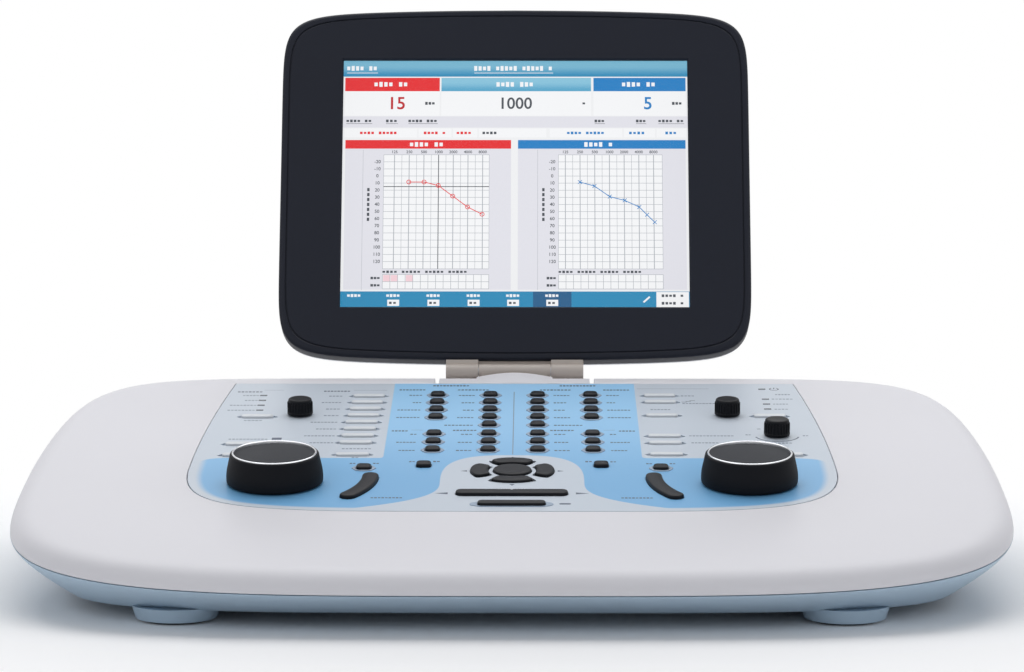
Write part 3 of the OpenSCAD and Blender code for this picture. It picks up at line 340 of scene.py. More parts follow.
def arc_bar(r, w, start, end, steps=24, end_steps=8):
    """Thick arc with round ends, centred on the origin."""
    def ray(a):
        return Vector(polar(1, a))

    def tip(a, side):
        along = Vector((-ray(a).y, ray(a).x)) * side
        return [r * ray(a) + side * w / 2 * ray(a) * cosd(180 * i / end_steps)
                + 0.5 * w * along * sind(180 * i / end_steps) for i in range(1, end_steps)]

    span = [start + (end - start) * i / steps for i in range(steps + 1)]
    points = [(r + w / 2) * ray(a) for a in span] + tip(end, 1)
    points += [(r - w / 2) * ray(a) for a in reversed(span)] + tip(start, -1)
    return [tuple(p) for p in points]


def circle(d, steps=64):
    return [polar(d / 2, a) for a in stations(steps)]


def moved(outline, x, y):
    return [(px + x, py + y) for px, py in outline]


def mirrored(outline):
    return [(-x, y) for x, y in reversed(outline)]


def inset(outline, d):
    """The outline drawn in by d, square to its sides."""
    points = []
    for i, p in enumerate(outline):
        a = Vector(p) - Vector(outline[i - 1])
        b = Vector(outline[(i + 1) % len(outline)]) - Vector(p)
        na = Vector((-a.y, a.x)).normalized()
        nb = Vector((-b.y, b.x)).normalized()
        m = (na + nb) / max(0.3, 1 + na.dot(nb))
        points.append((p[0] + m.x * d, p[1] + m.y * d))
    return points


def toward(outline, t):
    """Where a ray from the origin at angle t leaves a star-shaped outline."""
    d = Vector(polar(1, t))
    for i, p in enumerate(outline):
        a, b = Vector(outline[i - 1]), Vector(p)
        e = b - a
        cross = d.x * e.y - d.y * e.x
        if abs(cross) < 1e-12:
            continue
        r = (a.x * e.y - a.y * e.x) / cross
        k = (a.x * d.y - a.y * d.x) / cross
        if r > 0 and -1e-9 <= k <= 1 + 1e-9:
            return d * r
    return d


# ---- meshes -----------------------------------------------------------------------------
def loft(rings, closed=False):
    """Points and faces of rings joined in order; the ends are capped, or joined if closed."""
    n = len(rings[0])
    points = [tuple(p) for ring in rings for p in ring]
    count = len(rings)
    faces = []
    for j in range(count if closed else count - 1):
        a, b = j * n, (j + 1) % count * n
        for i in range(n):
            k = (i + 1) % n
            faces.append((a + i, a + k, b + k, b + i))
    if not closed:
        faces.append(tuple(range(n))[::-1])
        faces.append(tuple(range((count - 1) * n, count * n)))
    return points, faces


def flat(outline, z):
    return [(x, y, z) for x, y in outline]


def slab(outline, z0, z1):
    return loft([flat(outline, z0), flat(outline, z1)])


def box_part(low, high):
    x0, y0, z0 = low
    x1, y1, z1 = high
    return slab([(x0, y0), (x1, y0), (x1, y1), (x0, y1)], z0, z1)


def turned(profile, steps=128, closed=False):
    """Solid turned round z from (radius, height) points; its ends are capped."""
    return loft([[(*polar(r, a), z) for a in stations(steps)] for r, z in profile], closed)


def shifted(part, x=0, y=0, z=0):
    return [(px + x, py + y, pz + z) for px, py, pz in part[0]], part[1]


def peg(x, y, r, z0, z1, steps=32):
    """Upright round peg, as a post, a boss or a hole."""
    return shifted(turned([(r, z0), (r, z1)], steps), x, y)


def crowned(outline, top, edge, crown, reach, stem_at=(0, 0), rounding=5, rings=5):
    """A key: rounded and slightly crowned cap, the flange under the plate, and its stem.
    The outline is a list of points, or a function that gives them drawn in by a distance."""
    drawn_in = outline if callable(outline) else lambda d: inset(outline, d)
    levels = [(-FLANGE_W, FLANGE_TOP - FLANGE_T), (-FLANGE_W, FLANGE_TOP), (0, FLANGE_TOP),
              (0, top - edge)]
    for i in range(1, rounding + 1):
        a = 90 * i / rounding
        levels.append((edge * (1 - cosd(a)), top - edge + edge * sind(a)))
    for i in range(1, rings + 1):
        k = i / rings
        levels.append((edge + (reach - edge) * k, top + crown * (1 - (1 - k) ** 2)))
    stem = shifted(turned([(STEM_D / 2, 0), (STEM_D / 2, STEM_L + 0.01)], 24),
                   *stem_at, FLANGE_TOP - FLANGE_T - STEM_L)
    return [loft([flat(drawn_in(d), z) for d, z in levels]), stem]


def outward(part):
    """A mesh of one closed part with its faces pointing outwards."""
    mesh = bpy.data.meshes.new("part")
    mesh.from_pydata(part[0], [], part[1])
    work = bmesh.new()
    work.from_mesh(mesh)
    bmesh.ops.recalc_face_normals(work, faces=work.faces)
    if work.calc_volume(signed=True) < 0:
        bmesh.ops.reverse_faces(work, faces=work.faces)
    work.to_mesh(mesh)
    work.free()
    return mesh


def joined(meshes):
    """One mesh of several."""
    work = bmesh.new()
    for mesh in meshes:
        work.from_mesh(mesh)
    result = bpy.data.meshes.new("joined")
    work.to_mesh(result)
    work.free()
    return result


def softened(mesh, angle):
    """The mesh with smooth shading between faces that meet at less than the angle."""
    mesh.shade_smooth()
    mesh.set_sharp_from_angle(angle=math.radians(angle))
    return mesh


def mesh_of(parts, smooth_angle=SMOOTH_ANGLE):
    """A mesh of several closed parts, in millimetres."""
    mesh = joined([outward(part) for part in parts])
    return softened(mesh, smooth_angle) if smooth_angle else mesh


def linked(name, data):
    """A new object in the scene."""
    made = bpy.data.objects.new(name, data)
    bpy.context.scene.collection.objects.link(made)
    return made


def final_mesh(made, *helpers):
    """A plain mesh of an object with its modifiers done; the object and its helpers go."""
    graph = bpy.context.evaluated_depsgraph_get()
    mesh = bpy.data.meshes.new_from_object(made.evaluated_get(graph))
    for gone in (made, *helpers):
        bpy.data.objects.remove(gone)
    return mesh


def shown(name, mesh, place, finish, body=None, node=None):
    """Puts a finished mesh into the scene, in metres, with its object at the origin, hangs it on
    the body it rides on and hides the solid it stands for."""
    mesh.transform(place)
    mesh.name = name
    mesh.materials.clear()
    mesh.materials.append(finish)
    piece = linked(name, mesh)
    if node:
        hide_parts(node)
    if body:
        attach(piece, body)
    return piece


def carved(mesh, cuts, operation="DIFFERENCE"):
    """The mesh with the parts in cuts taken out of it, or joined to it."""
    body = linked("carving", mesh)
    tool = linked("tool", mesh_of(cuts, 0))
    change = body.modifiers.new("cut", "BOOLEAN")
    change.operation = operation
    change.object = tool
    change.solver = "EXACT"
    return softened(final_mesh(body, tool), SMOOTH_ANGLE)


# ---- copies on points, made by Geometry Nodes -------------------------------------------
def copies_tree():
    """Geometry Nodes: a copy of Piece on every point, turned and sized by the point's values."""
    tree = bpy.data.node_groups.new("copies_on_points", "GeometryNodeTree")
    for name, kind in (("Points", "NodeSocketGeometry"), ("Piece", "NodeSocketObject"),
                       ("Finish", "NodeSocketMaterial")):
        tree.interface.new_socket(name, in_out="INPUT", socket_type=kind)
    tree.interface.new_socket("Copies", in_out="OUTPUT", socket_type="NodeSocketGeometry")
    start, piece, turn, size, rotation, put, real, finish, end = (
        tree.nodes.new(kind) for kind in (
            "NodeGroupInput", "GeometryNodeObjectInfo", "GeometryNodeInputNamedAttribute",
            "GeometryNodeInputNamedAttribute", "FunctionNodeEulerToRotation",
            "GeometryNodeInstanceOnPoints", "GeometryNodeRealizeInstances",
            "GeometryNodeSetMaterial", "NodeGroupOutput"))
    piece.inputs["As Instance"].default_value = True
    for value, name in ((turn, "turn"), (size, "size")):
        value.data_type = "FLOAT_VECTOR"
        value.inputs["Name"].default_value = name
    for a, out, b, into in (
            (start, "Points", put, "Points"), (start, "Piece", piece, "Object"),
            (piece, "Geometry", put, "Instance"), (turn, "Attribute", rotation, 0),
            (rotation, 0, put, "Rotation"), (size, "Attribute", put, "Scale"),
            (put, "Instances", real, "Geometry"), (real, "Geometry", finish, "Geometry"),
            (start, "Finish", finish, "Material"), (finish, "Geometry", end, "Copies")):
        tree.links.new(a.outputs[out], b.inputs[into])
    return tree


COPIES = copies_tree()


def spot(x, y, z=0, turn=(0, 0, 0), size=(1, 1, 1)):
    return (x, y, z), turn, size


def copied(master, spots, finish):
    """A plain mesh with a copy of the master mesh on each spot."""
    points = bpy.data.meshes.new("points")
    points.from_pydata([s[0] for s in spots], [], [])
    for attribute, column in (("turn", 1), ("size", 2)):
        layer = points.attributes.new(attribute, "FLOAT_VECTOR", "POINT")
        layer.data.foreach_set("vector", [c for s in spots for c in s[column]])
    carrier, model = linked("carrier", points), linked("model", master.copy())
    copies = carrier.modifiers.new("copies", "NODES")
    copies.node_group = COPIES
    wanted = {"Piece": model, "Finish": finish}
    for item in COPIES.interface.items_tree:
        if item.name in wanted:
            copies[item.identifier] = wanted[item.name]
    mesh = final_mesh(carrier, model)
    for attribute in ("turn", "size"):
        if attribute in mesh.attributes:
            mesh.attributes.remove(mesh.attributes[attribute])
    return mesh


# ---- shader maths -----------------------------------------------------------------------
MIX_FACTOR, MIX_A, MIX_B, MIX_RESULT = 0, 6, 7, 2       # sockets of a colour Mix node


class Wire:
    """An output socket that Python arithmetic works on."""

    def __init__(self, paint, socket):
        self.paint = paint
        self.socket = socket

    def math(self, operation, *values):
        return self.paint.node("ShaderNodeMath", {"operation": operation},
                               dict(enumerate(values)))

    def between(self, low, high):
        """0 below low and 1 above high, with a smooth step between."""
        return self.paint.node("ShaderNodeMapRange", {"interpolation_type": "SMOOTHSTEP"},
                               {"Value": self, "From Min": low, "From Max": high})


def forward(operation):
    return lambda wire, *others: wire.math(operation, wire, *others)


def reflected(operation):
    return lambda wire, other: wire.math(operation, other, wire)


for method, operation in (
        ("__add__", "ADD"), ("__sub__", "SUBTRACT"), ("__mul__", "MULTIPLY"),
        ("__truediv__", "DIVIDE"), ("__pow__", "POWER"), ("__abs__", "ABSOLUTE"),
        ("at_least", "MAXIMUM"), ("at_most", "MINIMUM"), ("soft_max", "SMOOTH_MAX"),
        ("soft_min", "SMOOTH_MIN")):
    setattr(Wire, method, forward(operation))
for method, operation in (("__radd__", "ADD"), ("__rsub__", "SUBTRACT"), ("__rmul__", "MULTIPLY")):
    setattr(Wire, method, reflected(operation))


class Paint:
    """The nodes of one material, or of the world."""

    def __init__(self, name, kind="materials"):
        self.owner = getattr(bpy.data, kind).new(name)
        self.owner.use_nodes = True
        self.tree = self.owner.node_tree
        self.tree.nodes.clear()

    def node(self, kind, settings=None, values=None, output=0):
        made = self.tree.nodes.new(kind)
        for key, value in (settings or {}).items():
            setattr(made, key, value)
        for key, value in (values or {}).items():
            if isinstance(value, Wire):
                self.tree.links.new(value.socket, made.inputs[key])
            else:
                made.inputs[key].default_value = value
        return Wire(self, made.outputs[output])

    def where(self, place=CONSOLE):
        """Position in one of the three frames, in millimetres."""
        back = place.inverted()
        return self.node("ShaderNodeMapping", {"vector_type": "POINT"},
                         {"Vector": self.node("ShaderNodeTexCoord", output="Object"),
                          "Location": back.to_translation(), "Scale": back.to_scale(),
                          "Rotation": back.to_3x3().normalized().to_euler()})

    def axes(self, vector):
        made = self.node("ShaderNodeSeparateXYZ", values={"Vector": vector}).socket.node
        return [Wire(self, out) for out in made.outputs]

    def noise(self, vector, size, detail=2.0):
        """Noise from 0 to 1 with features of that size in millimetres."""
        return self.node("ShaderNodeTexNoise", values={"Vector": vector, "Scale": 1 / size,
                                                       "Detail": detail}, output="Fac")

    def mix(self, factor, a, b):
        return self.node("ShaderNodeMix", {"data_type": "RGBA", "blend_type": "MIX"},
                         {MIX_FACTOR: factor, MIX_A: a, MIX_B: b}, MIX_RESULT)

    def bump(self, height, depth):
        return self.node("ShaderNodeBump", values={"Height": height, "Distance": depth * MM,
                                                   "Strength": 1.0}, output="Normal")

    def principled(self, values):
        return self.node("ShaderNodeBsdfPrincipled", values=values)

    def ended(self, shader, kind="ShaderNodeOutputMaterial"):
        """Ends the nodes with a shader."""
        end = self.tree.nodes.new(kind)
        self.tree.links.new(shader.socket, end.inputs["Surface"])
        return self.owner


def rgb(r, g, b):
    """Scene colour of an 8-bit display colour."""
    def linear(c):
        c = c / 255
        return c / 12.92 if c <= 0.04045 else ((c + 0.055) / 1.055) ** 2.4
    return linear(r), linear(g), linear(b), 1.0


def toned(colour, share):
    return tuple(min(1, c * share) for c in colour[:3]) + (1,)


# ---- finishes ---------------------------------------------------------------------------
def moulded(name, colour, roughness, grain=0.9, depth=0.02, tone=0.05, **extra):
    """Moulded plastic, rubber or paint: fine grain, faint clouding, uneven gloss."""
    paint = Paint(name)
    where = paint.where()
    clouds = paint.noise(where, 60, 3.0)
    grains = paint.noise(where, grain, 2.0)
    return paint.ended(paint.principled({
        "Base Color": paint.mix(clouds, toned(colour, 1 - tone), toned(colour, 1 + tone)),
        "Roughness": roughness + (clouds - 0.5) * 0.1 + (grains - 0.5) * 0.08,
        "Normal": paint.bump(grains, depth), **extra}))


def brushed(name, colour, roughness):
    """Turned or drawn metal with fine lines."""
    paint = Paint(name)
    where = paint.where()
    x, y, z = paint.axes(where)
    stretched = paint.node("ShaderNodeCombineXYZ", values={"X": x * 0.2, "Y": y * 0.2, "Z": z})
    lines = paint.noise(stretched, 0.5)
    return paint.ended(paint.principled({
        "Base Color": paint.mix(paint.noise(where, 8), toned(colour, 0.92), colour),
        "Metallic": 0.95, "Roughness": roughness + (lines - 0.5) * 0.14,
        "Normal": paint.bump(lines, 0.01)}))


BLUE_PALE = rgb(154, 205, 243)
# deeper blue near the dials: partly the printed colour, partly painted shade of the dials
BLUE_DEEP_AND_SHADE = rgb(112, 174, 220)
PLATE_GREY = rgb(193, 203, 214)
PLATE_PALE = rgb(203, 211, 221)
ZONE_X = 72.6                 # half width of the blue block behind the bell
ZONE_V = 213.5                # rear edge of the blue bands round the dials
ZONE_LEAN = -0.004
ZONE_MARGIN = 5               # pale border between the blue zone and the plate's edge
ZONE_DRAW = 17                # how far the zone's sides draw in towards the front
WING_R = 26                   # rounding of the outer rear corners of the blue bands
BELL_X = 39.6
BELL_V = 165
BELL_TOP = 54.2
BELL_FLARE = 37
BELL_FOOT = 45


def printed_plate():
    """The control plate: printed blue zones with a pale border and a bell-shaped clear field.
    The blue deepens towards the dials, partly as printed gradient and partly as painted shade.
    """
    paint = Paint("plate_print")
    where = paint.where(PLATE)
    x, v, w = paint.axes(where)
    x = abs(x)
    block = ZONE_X + (v - ZONE_V) * ZONE_LEAN - x
    wing = (ZONE_V - v).soft_min(PLATE_W / 2 - ZONE_MARGIN + 2 - x, WING_R)
    q = (PLATE_WIDE_AT - v).at_least(0) / (PLATE_WIDE_AT - PLATE_FRONT - ZONE_MARGIN)
    side = x / (PLATE_W / 2 - ZONE_MARGIN - ZONE_DRAW * q * q)
    border = (1 - (side ** PLATE_POWER + q ** PLATE_POWER) ** (1 / PLATE_POWER)) * 80
    flare = ((BELL_V - v).at_least(0) / BELL_FOOT) ** 2.8 * BELL_FLARE
    bell_x = (x - flare).at_least(0) / BELL_X
    bell_v = (v - BELL_V).at_least(0) / BELL_TOP
    bell = ((bell_x ** 3 + bell_v ** 3) ** (1 / 3) - 1) * BELL_X
    zone = block.soft_max(wing, 5).at_most(bell)
    inside = zone.between(-0.25, 0.25) * border.between(-0.4, 2.2)
    # painted shade: the blue deepens from the rear towards the dials, partly a printed gradient and
    # partly the dials' shade
    blue = paint.mix(v.between(330, 150), BLUE_PALE, BLUE_DEEP_AND_SHADE)
    grey = paint.mix(paint.noise(where, 90, 2.0), PLATE_GREY, PLATE_PALE)
    face = paint.mix(inside * w.between(-0.6, -0.2), grey, blue)
    grains = paint.noise(where, 0.7)
    return paint.ended(paint.principled({
        "Base Color": face, "Roughness": 0.42 + (grains - 0.5) * 0.1,
        "Normal": paint.bump(grains, 0.012)}))


def lit(name, colour, fade=None):
    """Part of the lit picture: its own colour, a touch weaker towards the picture's corners.
    A fade is two heights and the colour below them."""
    paint = Paint("lit_" + name)
    x, y, z = paint.axes(paint.where(SCREEN))
    if fade:
        colour = paint.mix(z.between(*fade[:2]), fade[2], colour)
    falloff = ((abs(x) / LCD_W * 2) ** 4 + (abs(z - LCD_MID) / LCD_H * 2) ** 4) * 0.03
    return paint.ended(paint.principled({
        "Base Color": rgb(12, 12, 14), "Roughness": 0.4,
        "Emission Color": paint.mix(falloff, colour, rgb(0, 0, 0)), "Emission Strength": 1.0}))


def clear_glass():
    """Thin cover glass: nearly clear, with a soft reflection at a low angle."""
    paint = Paint("cover_glass")
    smudge = paint.noise(paint.where(SCREEN), 60, 3.0)
    gloss = paint.principled({"Base Color": rgb(20, 22, 28), "Roughness": 0.12 + smudge * 0.06,
                              "Specular IOR Level": 0.5})
    clear = paint.node("ShaderNodeBsdfTransparent", values={"Color": (1, 1, 1, 1)})
    return paint.ended(paint.node("ShaderNodeMixShader", values={0: 0.05, 1: clear, 2: gloss}))


DULL = {"Specular IOR Level": 0.15}
SATIN = {"Specular IOR Level": 0.22}
WHITE = moulded("shell_white", rgb(224, 223, 228), 0.5, 0.8, 0.012, 0.015)
TRAY = moulded("tray_blue", rgb(180, 201, 218), 0.42, 0.8, 0.014, 0.03)
RUBBER = moulded("soft_black", rgb(8, 10, 16), 0.6, 0.6, 0.03, **DULL)
KEY_BLACK = moulded("key_black", rgb(9, 11, 17), 0.45, 0.6, 0.02, **DULL)
CAP_BLACK = moulded("dial_cap_black", rgb(15, 20, 29), 0.6, 0.8, 0.06, **SATIN)
KEY_GREY = moulded("key_grey", rgb(214, 218, 223), 0.36, 0.7, 0.015)
COLLAR = moulded("collar_grey", rgb(150, 168, 188), 0.35, 0.7, 0.015)
SILVER = brushed("ring_silver", rgb(214, 216, 220), 0.24)
STEEL = brushed("steel", rgb(190, 192, 196), 0.35)
FRAME_DARK = moulded("frame_dark", rgb(31, 34, 44), 0.42, 0.7, 0.012, **DULL)
COVER_GREY = moulded("cover_grey", rgb(206, 208, 212), 0.5, 0.9, 0.03)
TAUPE = moulded("neck_taupe", rgb(188, 178, 170), 0.45, 0.8, 0.02)
PAD_RUBBER = moulded("pad_rubber", rgb(62, 64, 68), 0.8, 0.8, 0.05)
SOCKET = moulded("socket_black", rgb(44, 45, 48), 0.5)
BOARD = moulded("board_green", rgb(34, 92, 62), 0.4, 1.5)
SPEAKER = moulded("speaker_grey", rgb(112, 116, 122), 0.5)
LAMP = moulded("lamp_grey", rgb(96, 104, 112), 0.25, 0.9, 0.01)
INK = moulded("label_ink", rgb(72, 84, 104), 0.5, 0.9, 0.005)
INK_SOFT = moulded("label_ink_soft", rgb(128, 140, 156), 0.5, 0.9, 0.005)
PLATE_PRINT = printed_plate()
GLASS = clear_glass()

NODE_FINISH = {
    "hinge_cover": WHITE, "rear_panel": WHITE, "foot_pads": PAD_RUBBER, "base_screws": STEEL,
    "phone_jacks": SOCKET, "power_inlet": SOCKET, "main_board": BOARD, "key_board": BOARD,
    "monitor_speaker": SPEAKER, "key_switches": SOCKET, "encoders": STEEL,
    "control_panel": PLATE_PRINT, "status_lights": LAMP, "hinge_bracket": TAUPE,
    "hinge_pins": STEEL, "neck": TAUPE, "lcd_module": SPEAKER, "display_board": BOARD,
    "display_screws": STEEL, "left_dial_shaft": STEEL, "right_dial_shaft": STEEL,
}


def finish_nodes():
    """Gives every solid that stays its own finish."""
    for name, finish in NODE_FINISH.items():
        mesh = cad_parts[name].data
        mesh.materials.clear()
        mesh.materials.append(finish)


# ---- console shells ---------------------------------------------------------------------
ROLL_STEPS = 14
LIP_R = 0.5                   # rounding of the cover's lip round the plate


def top_cover():
    """White cover: the rolled edge, the flat top and the ledge round the control plate."""
    loops = []
    for t in stations(STATIONS):
        p, n = rim(t), inward(rim, t, 1)
        q, m = plate_edge(t), inward(plate_edge, t, 2)

        def outer(d, w):
            return p[0] + n[0] * d, p[1] + n[1] * d, w

        def inner(d, w):
            return q[0] + m[0] * d, q[1] + m[1] * d, w

        roll = [90 * j / ROLL_STEPS for j in range(ROLL_STEPS + 1)]
        loop = [outer(ROLL_W * (1 - cosd(a)), -SEAM_DEPTH * (1 - sind(a))) for a in roll]
        loop += [inner(d, w) for d, w in (
            (-LIP_R, 0), (-LIP_R * 0.3, -LIP_R * 0.3), (0, -LIP_R), (0, -PLATE_T),
            (LEDGE_W, -PLATE_T), (LEDGE_W, -PLATE_T - LEDGE_T), (-2, -PLATE_T - LEDGE_T),
            (-2, -WALL))]
        loop.append(outer(ROLL_W, -WALL))
        loop += [outer(WALL + (ROLL_W - WALL) * (1 - cosd(a)),
                       -WALL - (SEAM_DEPTH - WALL) * (1 - sind(a))) for a in reversed(roll[1:-1])]
        loop.append(outer(WALL, -SEAM_DEPTH))
        loops.append(loop)
    shell = carved(mesh_of([loft(loops, closed=True)]),
                   [box_part((-HINGE_SLOT_X, PLATE_REAR + PLATE_GAP, -SEAM_DEPTH - 1),
                             (HINGE_SLOT_X, BASE_L + 20, 2))])
    shell.transform(CONSOLE.inverted() @ PLATE)
    shell = carved(shell, [peg(x, y, POST_R, POST_SPLIT, up(y, -1.2)[1] - 0.6)
                           for x, y in POST_PLACES], "UNION")
    shown("top_cover", shell, CONSOLE, WHITE, "console", "top_shell")


def tray_point(t, depth_in, u, lift):
    """Point of the tray's outer (lift 1) or inner (lift 0) wall, u of the way down."""
    p, n = rim(t), inward(rim, t, 1)
    y, z = up(p[1], -SEAM_DEPTH - SEAM_GAP * lift)
    low = FLOOR_Z + (0 if lift else WALL)
    tilt = n[1] * depth_in * math.tan(math.radians(SLOPE)) if u == 0 else 0
    return p[0] + n[0] * depth_in, y + n[1] * depth_in, z * (1 - u) + low * u + tilt


def tray():
    """Blue-grey tray with its foot bosses, posts and the recess for the connections."""
    outer_steps, inner_steps = 28, 8
    levels = []
    for j in range(outer_steps, -1, -1):
        u = (j / outer_steps) ** 1.3
        levels.append((TRAY_INSET * u ** TRAY_POWER, u, 1))
    levels += [(SEAM_INSET, 0, 1), (SEAM_INSET, 0, 0)]
    for j in range(inner_steps + 1):
        u = j / inner_steps
        levels.append((WALL + TRAY_INSET * u ** TRAY_POWER, u, 0))
    shell = mesh_of([loft([[tray_point(t, *level) for t in stations(STATIONS)]
                           for level in levels])])
    boss_r = FOOT_BOTTOM_D / 2
    boss = turned([(boss_r - 1.2, PAD_PROUD), (boss_r - 0.4, PAD_PROUD + 0.3),
                   (boss_r, PAD_PROUD + 1.1), (FOOT_TOP_D / 2, FLOOR_Z + 1)], 96)
    bosses = [shifted(boss, x, y) for x, y in FEET]
    bosses += [peg(x, y, POST_R, FLOOR_Z + 1, POST_SPLIT) for x, y in POST_PLACES]
    shell = carved(shell, bosses, "UNION")
    cuts = [box_part((-RECESS_X, REAR_Y - RECESS_DEPTH - 12, RECESS_LOW),
                     (RECESS_X, BASE_L + 60, REAR_Z - RECESS_DROP))]
    cuts += [peg(x, y, PAD_D / 2 + 0.2, 0, PAD_T, 64) for x, y in FEET]
    cuts += [peg(x, y, SCREW_HEAD_R, 0, FLOOR_Z + SCREW_SINK) for x, y in POST_PLACES]
    shown("tray", carved(shell, cuts), CONSOLE, TRAY, "console", "bottom_shell")


# ---- dials and knobs --------------------------------------------------------------------
DIAL_STEPS = 160


def dial_body():
    """Soft body of a big dial, hollow below and with a well for the ring and the cap."""
    foot, top = DIAL_D / 2, DIAL_TOP_D / 2
    body = [(0.6, DIAL_H - 7), (foot - 4.5, DIAL_H - 7), (foot - 3, DIAL_GAP),
            (foot - 0.9, DIAL_GAP), (foot - 0.35, DIAL_GAP + 0.2),
            (foot - 0.08, DIAL_GAP + 0.6), (foot, DIAL_GAP + DIAL_EDGE)]
    steps = 12
    for i in range(1, steps + 1):
        k = i / steps
        bulge = 0.55 * math.sin(math.pi * k)
        body.append((foot + (top - foot) * k ** 1.35 + bulge * (1 - k),
                     DIAL_GAP + DIAL_EDGE + (DIAL_H - DIAL_EDGE - DIAL_GAP - DIAL_EDGE) * k))
    for i in range(1, 6):
        body.append((top - DIAL_EDGE * (1 - cosd(18 * i)),
                     DIAL_H - DIAL_EDGE + DIAL_EDGE * sind(18 * i)))
    floor = DIAL_H - 2.6
    body += [(RING_D / 2, DIAL_H), (RING_D / 2, floor), (0.6, floor)]
    hub = turned([(HUB_R, DIAL_GAP), (HUB_R, DIAL_H - 6.9)], 48)
    return mesh_of([turned(body, DIAL_STEPS), hub], 40)


def dial_ring():
    outer, inner = RING_D / 2, RING_D / 2 - RING_W
    ring = [(inner, DIAL_H - 2.6), (outer, DIAL_H - 2.6), (outer, DIAL_H + 0.1)]
    for i in range(1, 6):
        ring.append(((outer + inner) / 2 + RING_W / 2 * cosd(30 * i),
                     DIAL_H + 0.1 + 0.45 * sind(30 * i)))
    ring.append((inner, DIAL_H + 0.1))
    return mesh_of([turned(ring, DIAL_STEPS, closed=True)], 50)


def dial_cap():
    inner, floor = RING_D / 2 - RING_W, DIAL_H - 2.6
    cap = [(0.4, floor), (inner, floor)]
    for i in range(9):
        k = 1 - i / 8
        cap.append((max(0.4, inner * k), DIAL_H - 0.3 - 0.9 * k * k))
    return mesh_of([turned(cap, DIAL_STEPS)], 40)


def big_dials():
    """The two level dials."""
    for name, side in (("left", -1), ("right", 1)):
        place = PLATE @ Matrix.Translation((side * DIAL_X, DIAL_V, 0))
        for part, mesh, finish, slot in (("dial", dial_body(), RUBBER, "dial_black"),
                                         ("dial_ring", dial_ring(), SILVER, "ring_silver"),
                                         ("dial_cap", dial_cap(), CAP_BLACK, "dial_black")):
            shown(f"{name}_{part}_turned", mesh, place, finish, f"{name}_level_dial",
                  f"{name}_{part}")


def small_knobs():
    """Small knobs: a turned body with a ring of grip ribs, and a shaft."""
    r = KNOB_D / 2
    core = [(0.3, DIAL_GAP), (r - 0.3, DIAL_GAP), (r, DIAL_GAP + 0.5), (r, DIAL_GAP + 1.4),
            (r - 0.45, DIAL_GAP + 1.9), (r - 0.6, KNOB_H - 1.8)]
    core += [(r - 1.8 + 1.2 * cosd(18 * i), KNOB_H - 1.2 + 1.2 * sind(18 * i)) for i in range(6)]
    core += [(r - 3.4, KNOB_H - 0.12), (0.3, KNOB_H - 0.3)]
    shaft = turned([(KNOB_SHAFT_D / 2, SHAFT_BOTTOM), (KNOB_SHAFT_D / 2, DIAL_GAP + 0.01)], 48)
    rib = mesh_of([loft([flat(circle(d, 10), z) for d, z in (
        (0.9, DIAL_GAP + 1.6), (0.9, KNOB_H - 2.6), (0.5, KNOB_H - 1.9))])], 40)
    grip = copied(rib, [spot(*polar(r - 0.5, a)) for a in stations(KNOB_RIBS)], KEY_BLACK)
    for node, x, v in (("monitor_knob", -KNOB_X, KNOB_V), ("talk_level_knob", KNOB_X, KNOB_V),
                       ("power_level_knob", LEVEL_KNOB_X, LEVEL_KNOB_V)):
        shown(node + "_ribbed", joined([mesh_of([turned(core, 96), shaft], 35), grip]),
              PLATE @ Matrix.Translation((x, v, 0)), KEY_BLACK, node, node)


# ---- keys -------------------------------------------------------------------------------
def column(x, v, pitch, n):
    return [(x, v - i * pitch) for i in range(n)]


def leaning(x, v):
    return math.copysign(abs(x) + (LONG_ROW_V - v) * LONG_LEAN - 0.7, x), v


def flipped(places):
    return [(-x, v) for x, v in places]


OUTER_UPPER = column(OUTER_COL_X, UPPER_ROW_V, UPPER_PITCH, 4)
INNER_UPPER = column(INNER_COL_X, UPPER_ROW_V, UPPER_PITCH, 5)
OUTER_LOWER = column(OUTER_COL_X, LOWER_ROW_V, LOWER_PITCH, 3)
INNER_LOWER = column(INNER_COL_X, LOWER_ROW_V, LOWER_PITCH, 3)
LEFT_TEST = [leaning(-LONG_COL_X, LONG_ROW_V - i * LONG_PITCH) for i in range(8)]
LEFT_TEST.append(leaning(-LONG_COL_X, LONE_KEY_V))
LEFT_SIDE = [(-SIDE_KEY_X, SIDE_KEY_V), (-DIAL_KEY_X, REAR_DIAL_KEY_V),
             (-DIAL_KEY_X, NEAR_DIAL_KEY_V)]
RIGHT_COL_V = [LONG_ROW_V + 1.2, LONG_ROW_V + 1.2 - LONG_PITCH, SIDE_KEY_V + 3,
               REAR_DIAL_KEY_V + 3 + LONG_PITCH, REAR_DIAL_KEY_V + 3, LONE_KEY_V + 1]
RIGHT_TEST = [(RIGHT_COL_X, v) for v in RIGHT_COL_V]
RIGHT_TEST += [(SIDE_KEY_X, SIDE_KEY_V + 2), (DIAL_KEY_X, NEAR_DIAL_KEY_V + 1.6)]
BLACK_KEYS = {
    "left_stimulus_keys": flipped(OUTER_UPPER), "left_noise_keys": flipped(OUTER_LOWER),
    "left_output_keys": flipped(INNER_UPPER), "left_routing_keys": flipped(INNER_LOWER),
    "right_stimulus_keys": OUTER_UPPER, "right_noise_keys": OUTER_LOWER,
    "right_output_keys": INNER_UPPER, "right_routing_keys": INNER_LOWER,
    "left_interrupt_key": [(-INTERRUPT_X, INTERRUPT_V)],
    "right_interrupt_key": [(INTERRUPT_X, INTERRUPT_V)],
    "left_talk_key": [(-TALK_X, TALK_V)], "right_talk_key": [(TALK_X, TALK_V)],
}
COLLARED = [p for name, places in BLACK_KEYS.items() if "talk" not in name for p in places]
GREY_KEYS = {"left_test_keys": LEFT_TEST, "left_side_keys": LEFT_SIDE,
             "right_test_keys": RIGHT_TEST}


def key_piece(node, mesh, finish=KEY_BLACK):
    shown(node + "_caps", mesh, PLATE, finish, node, node)


def spots_at(places):
    return [spot(x, v) for x, v in places]


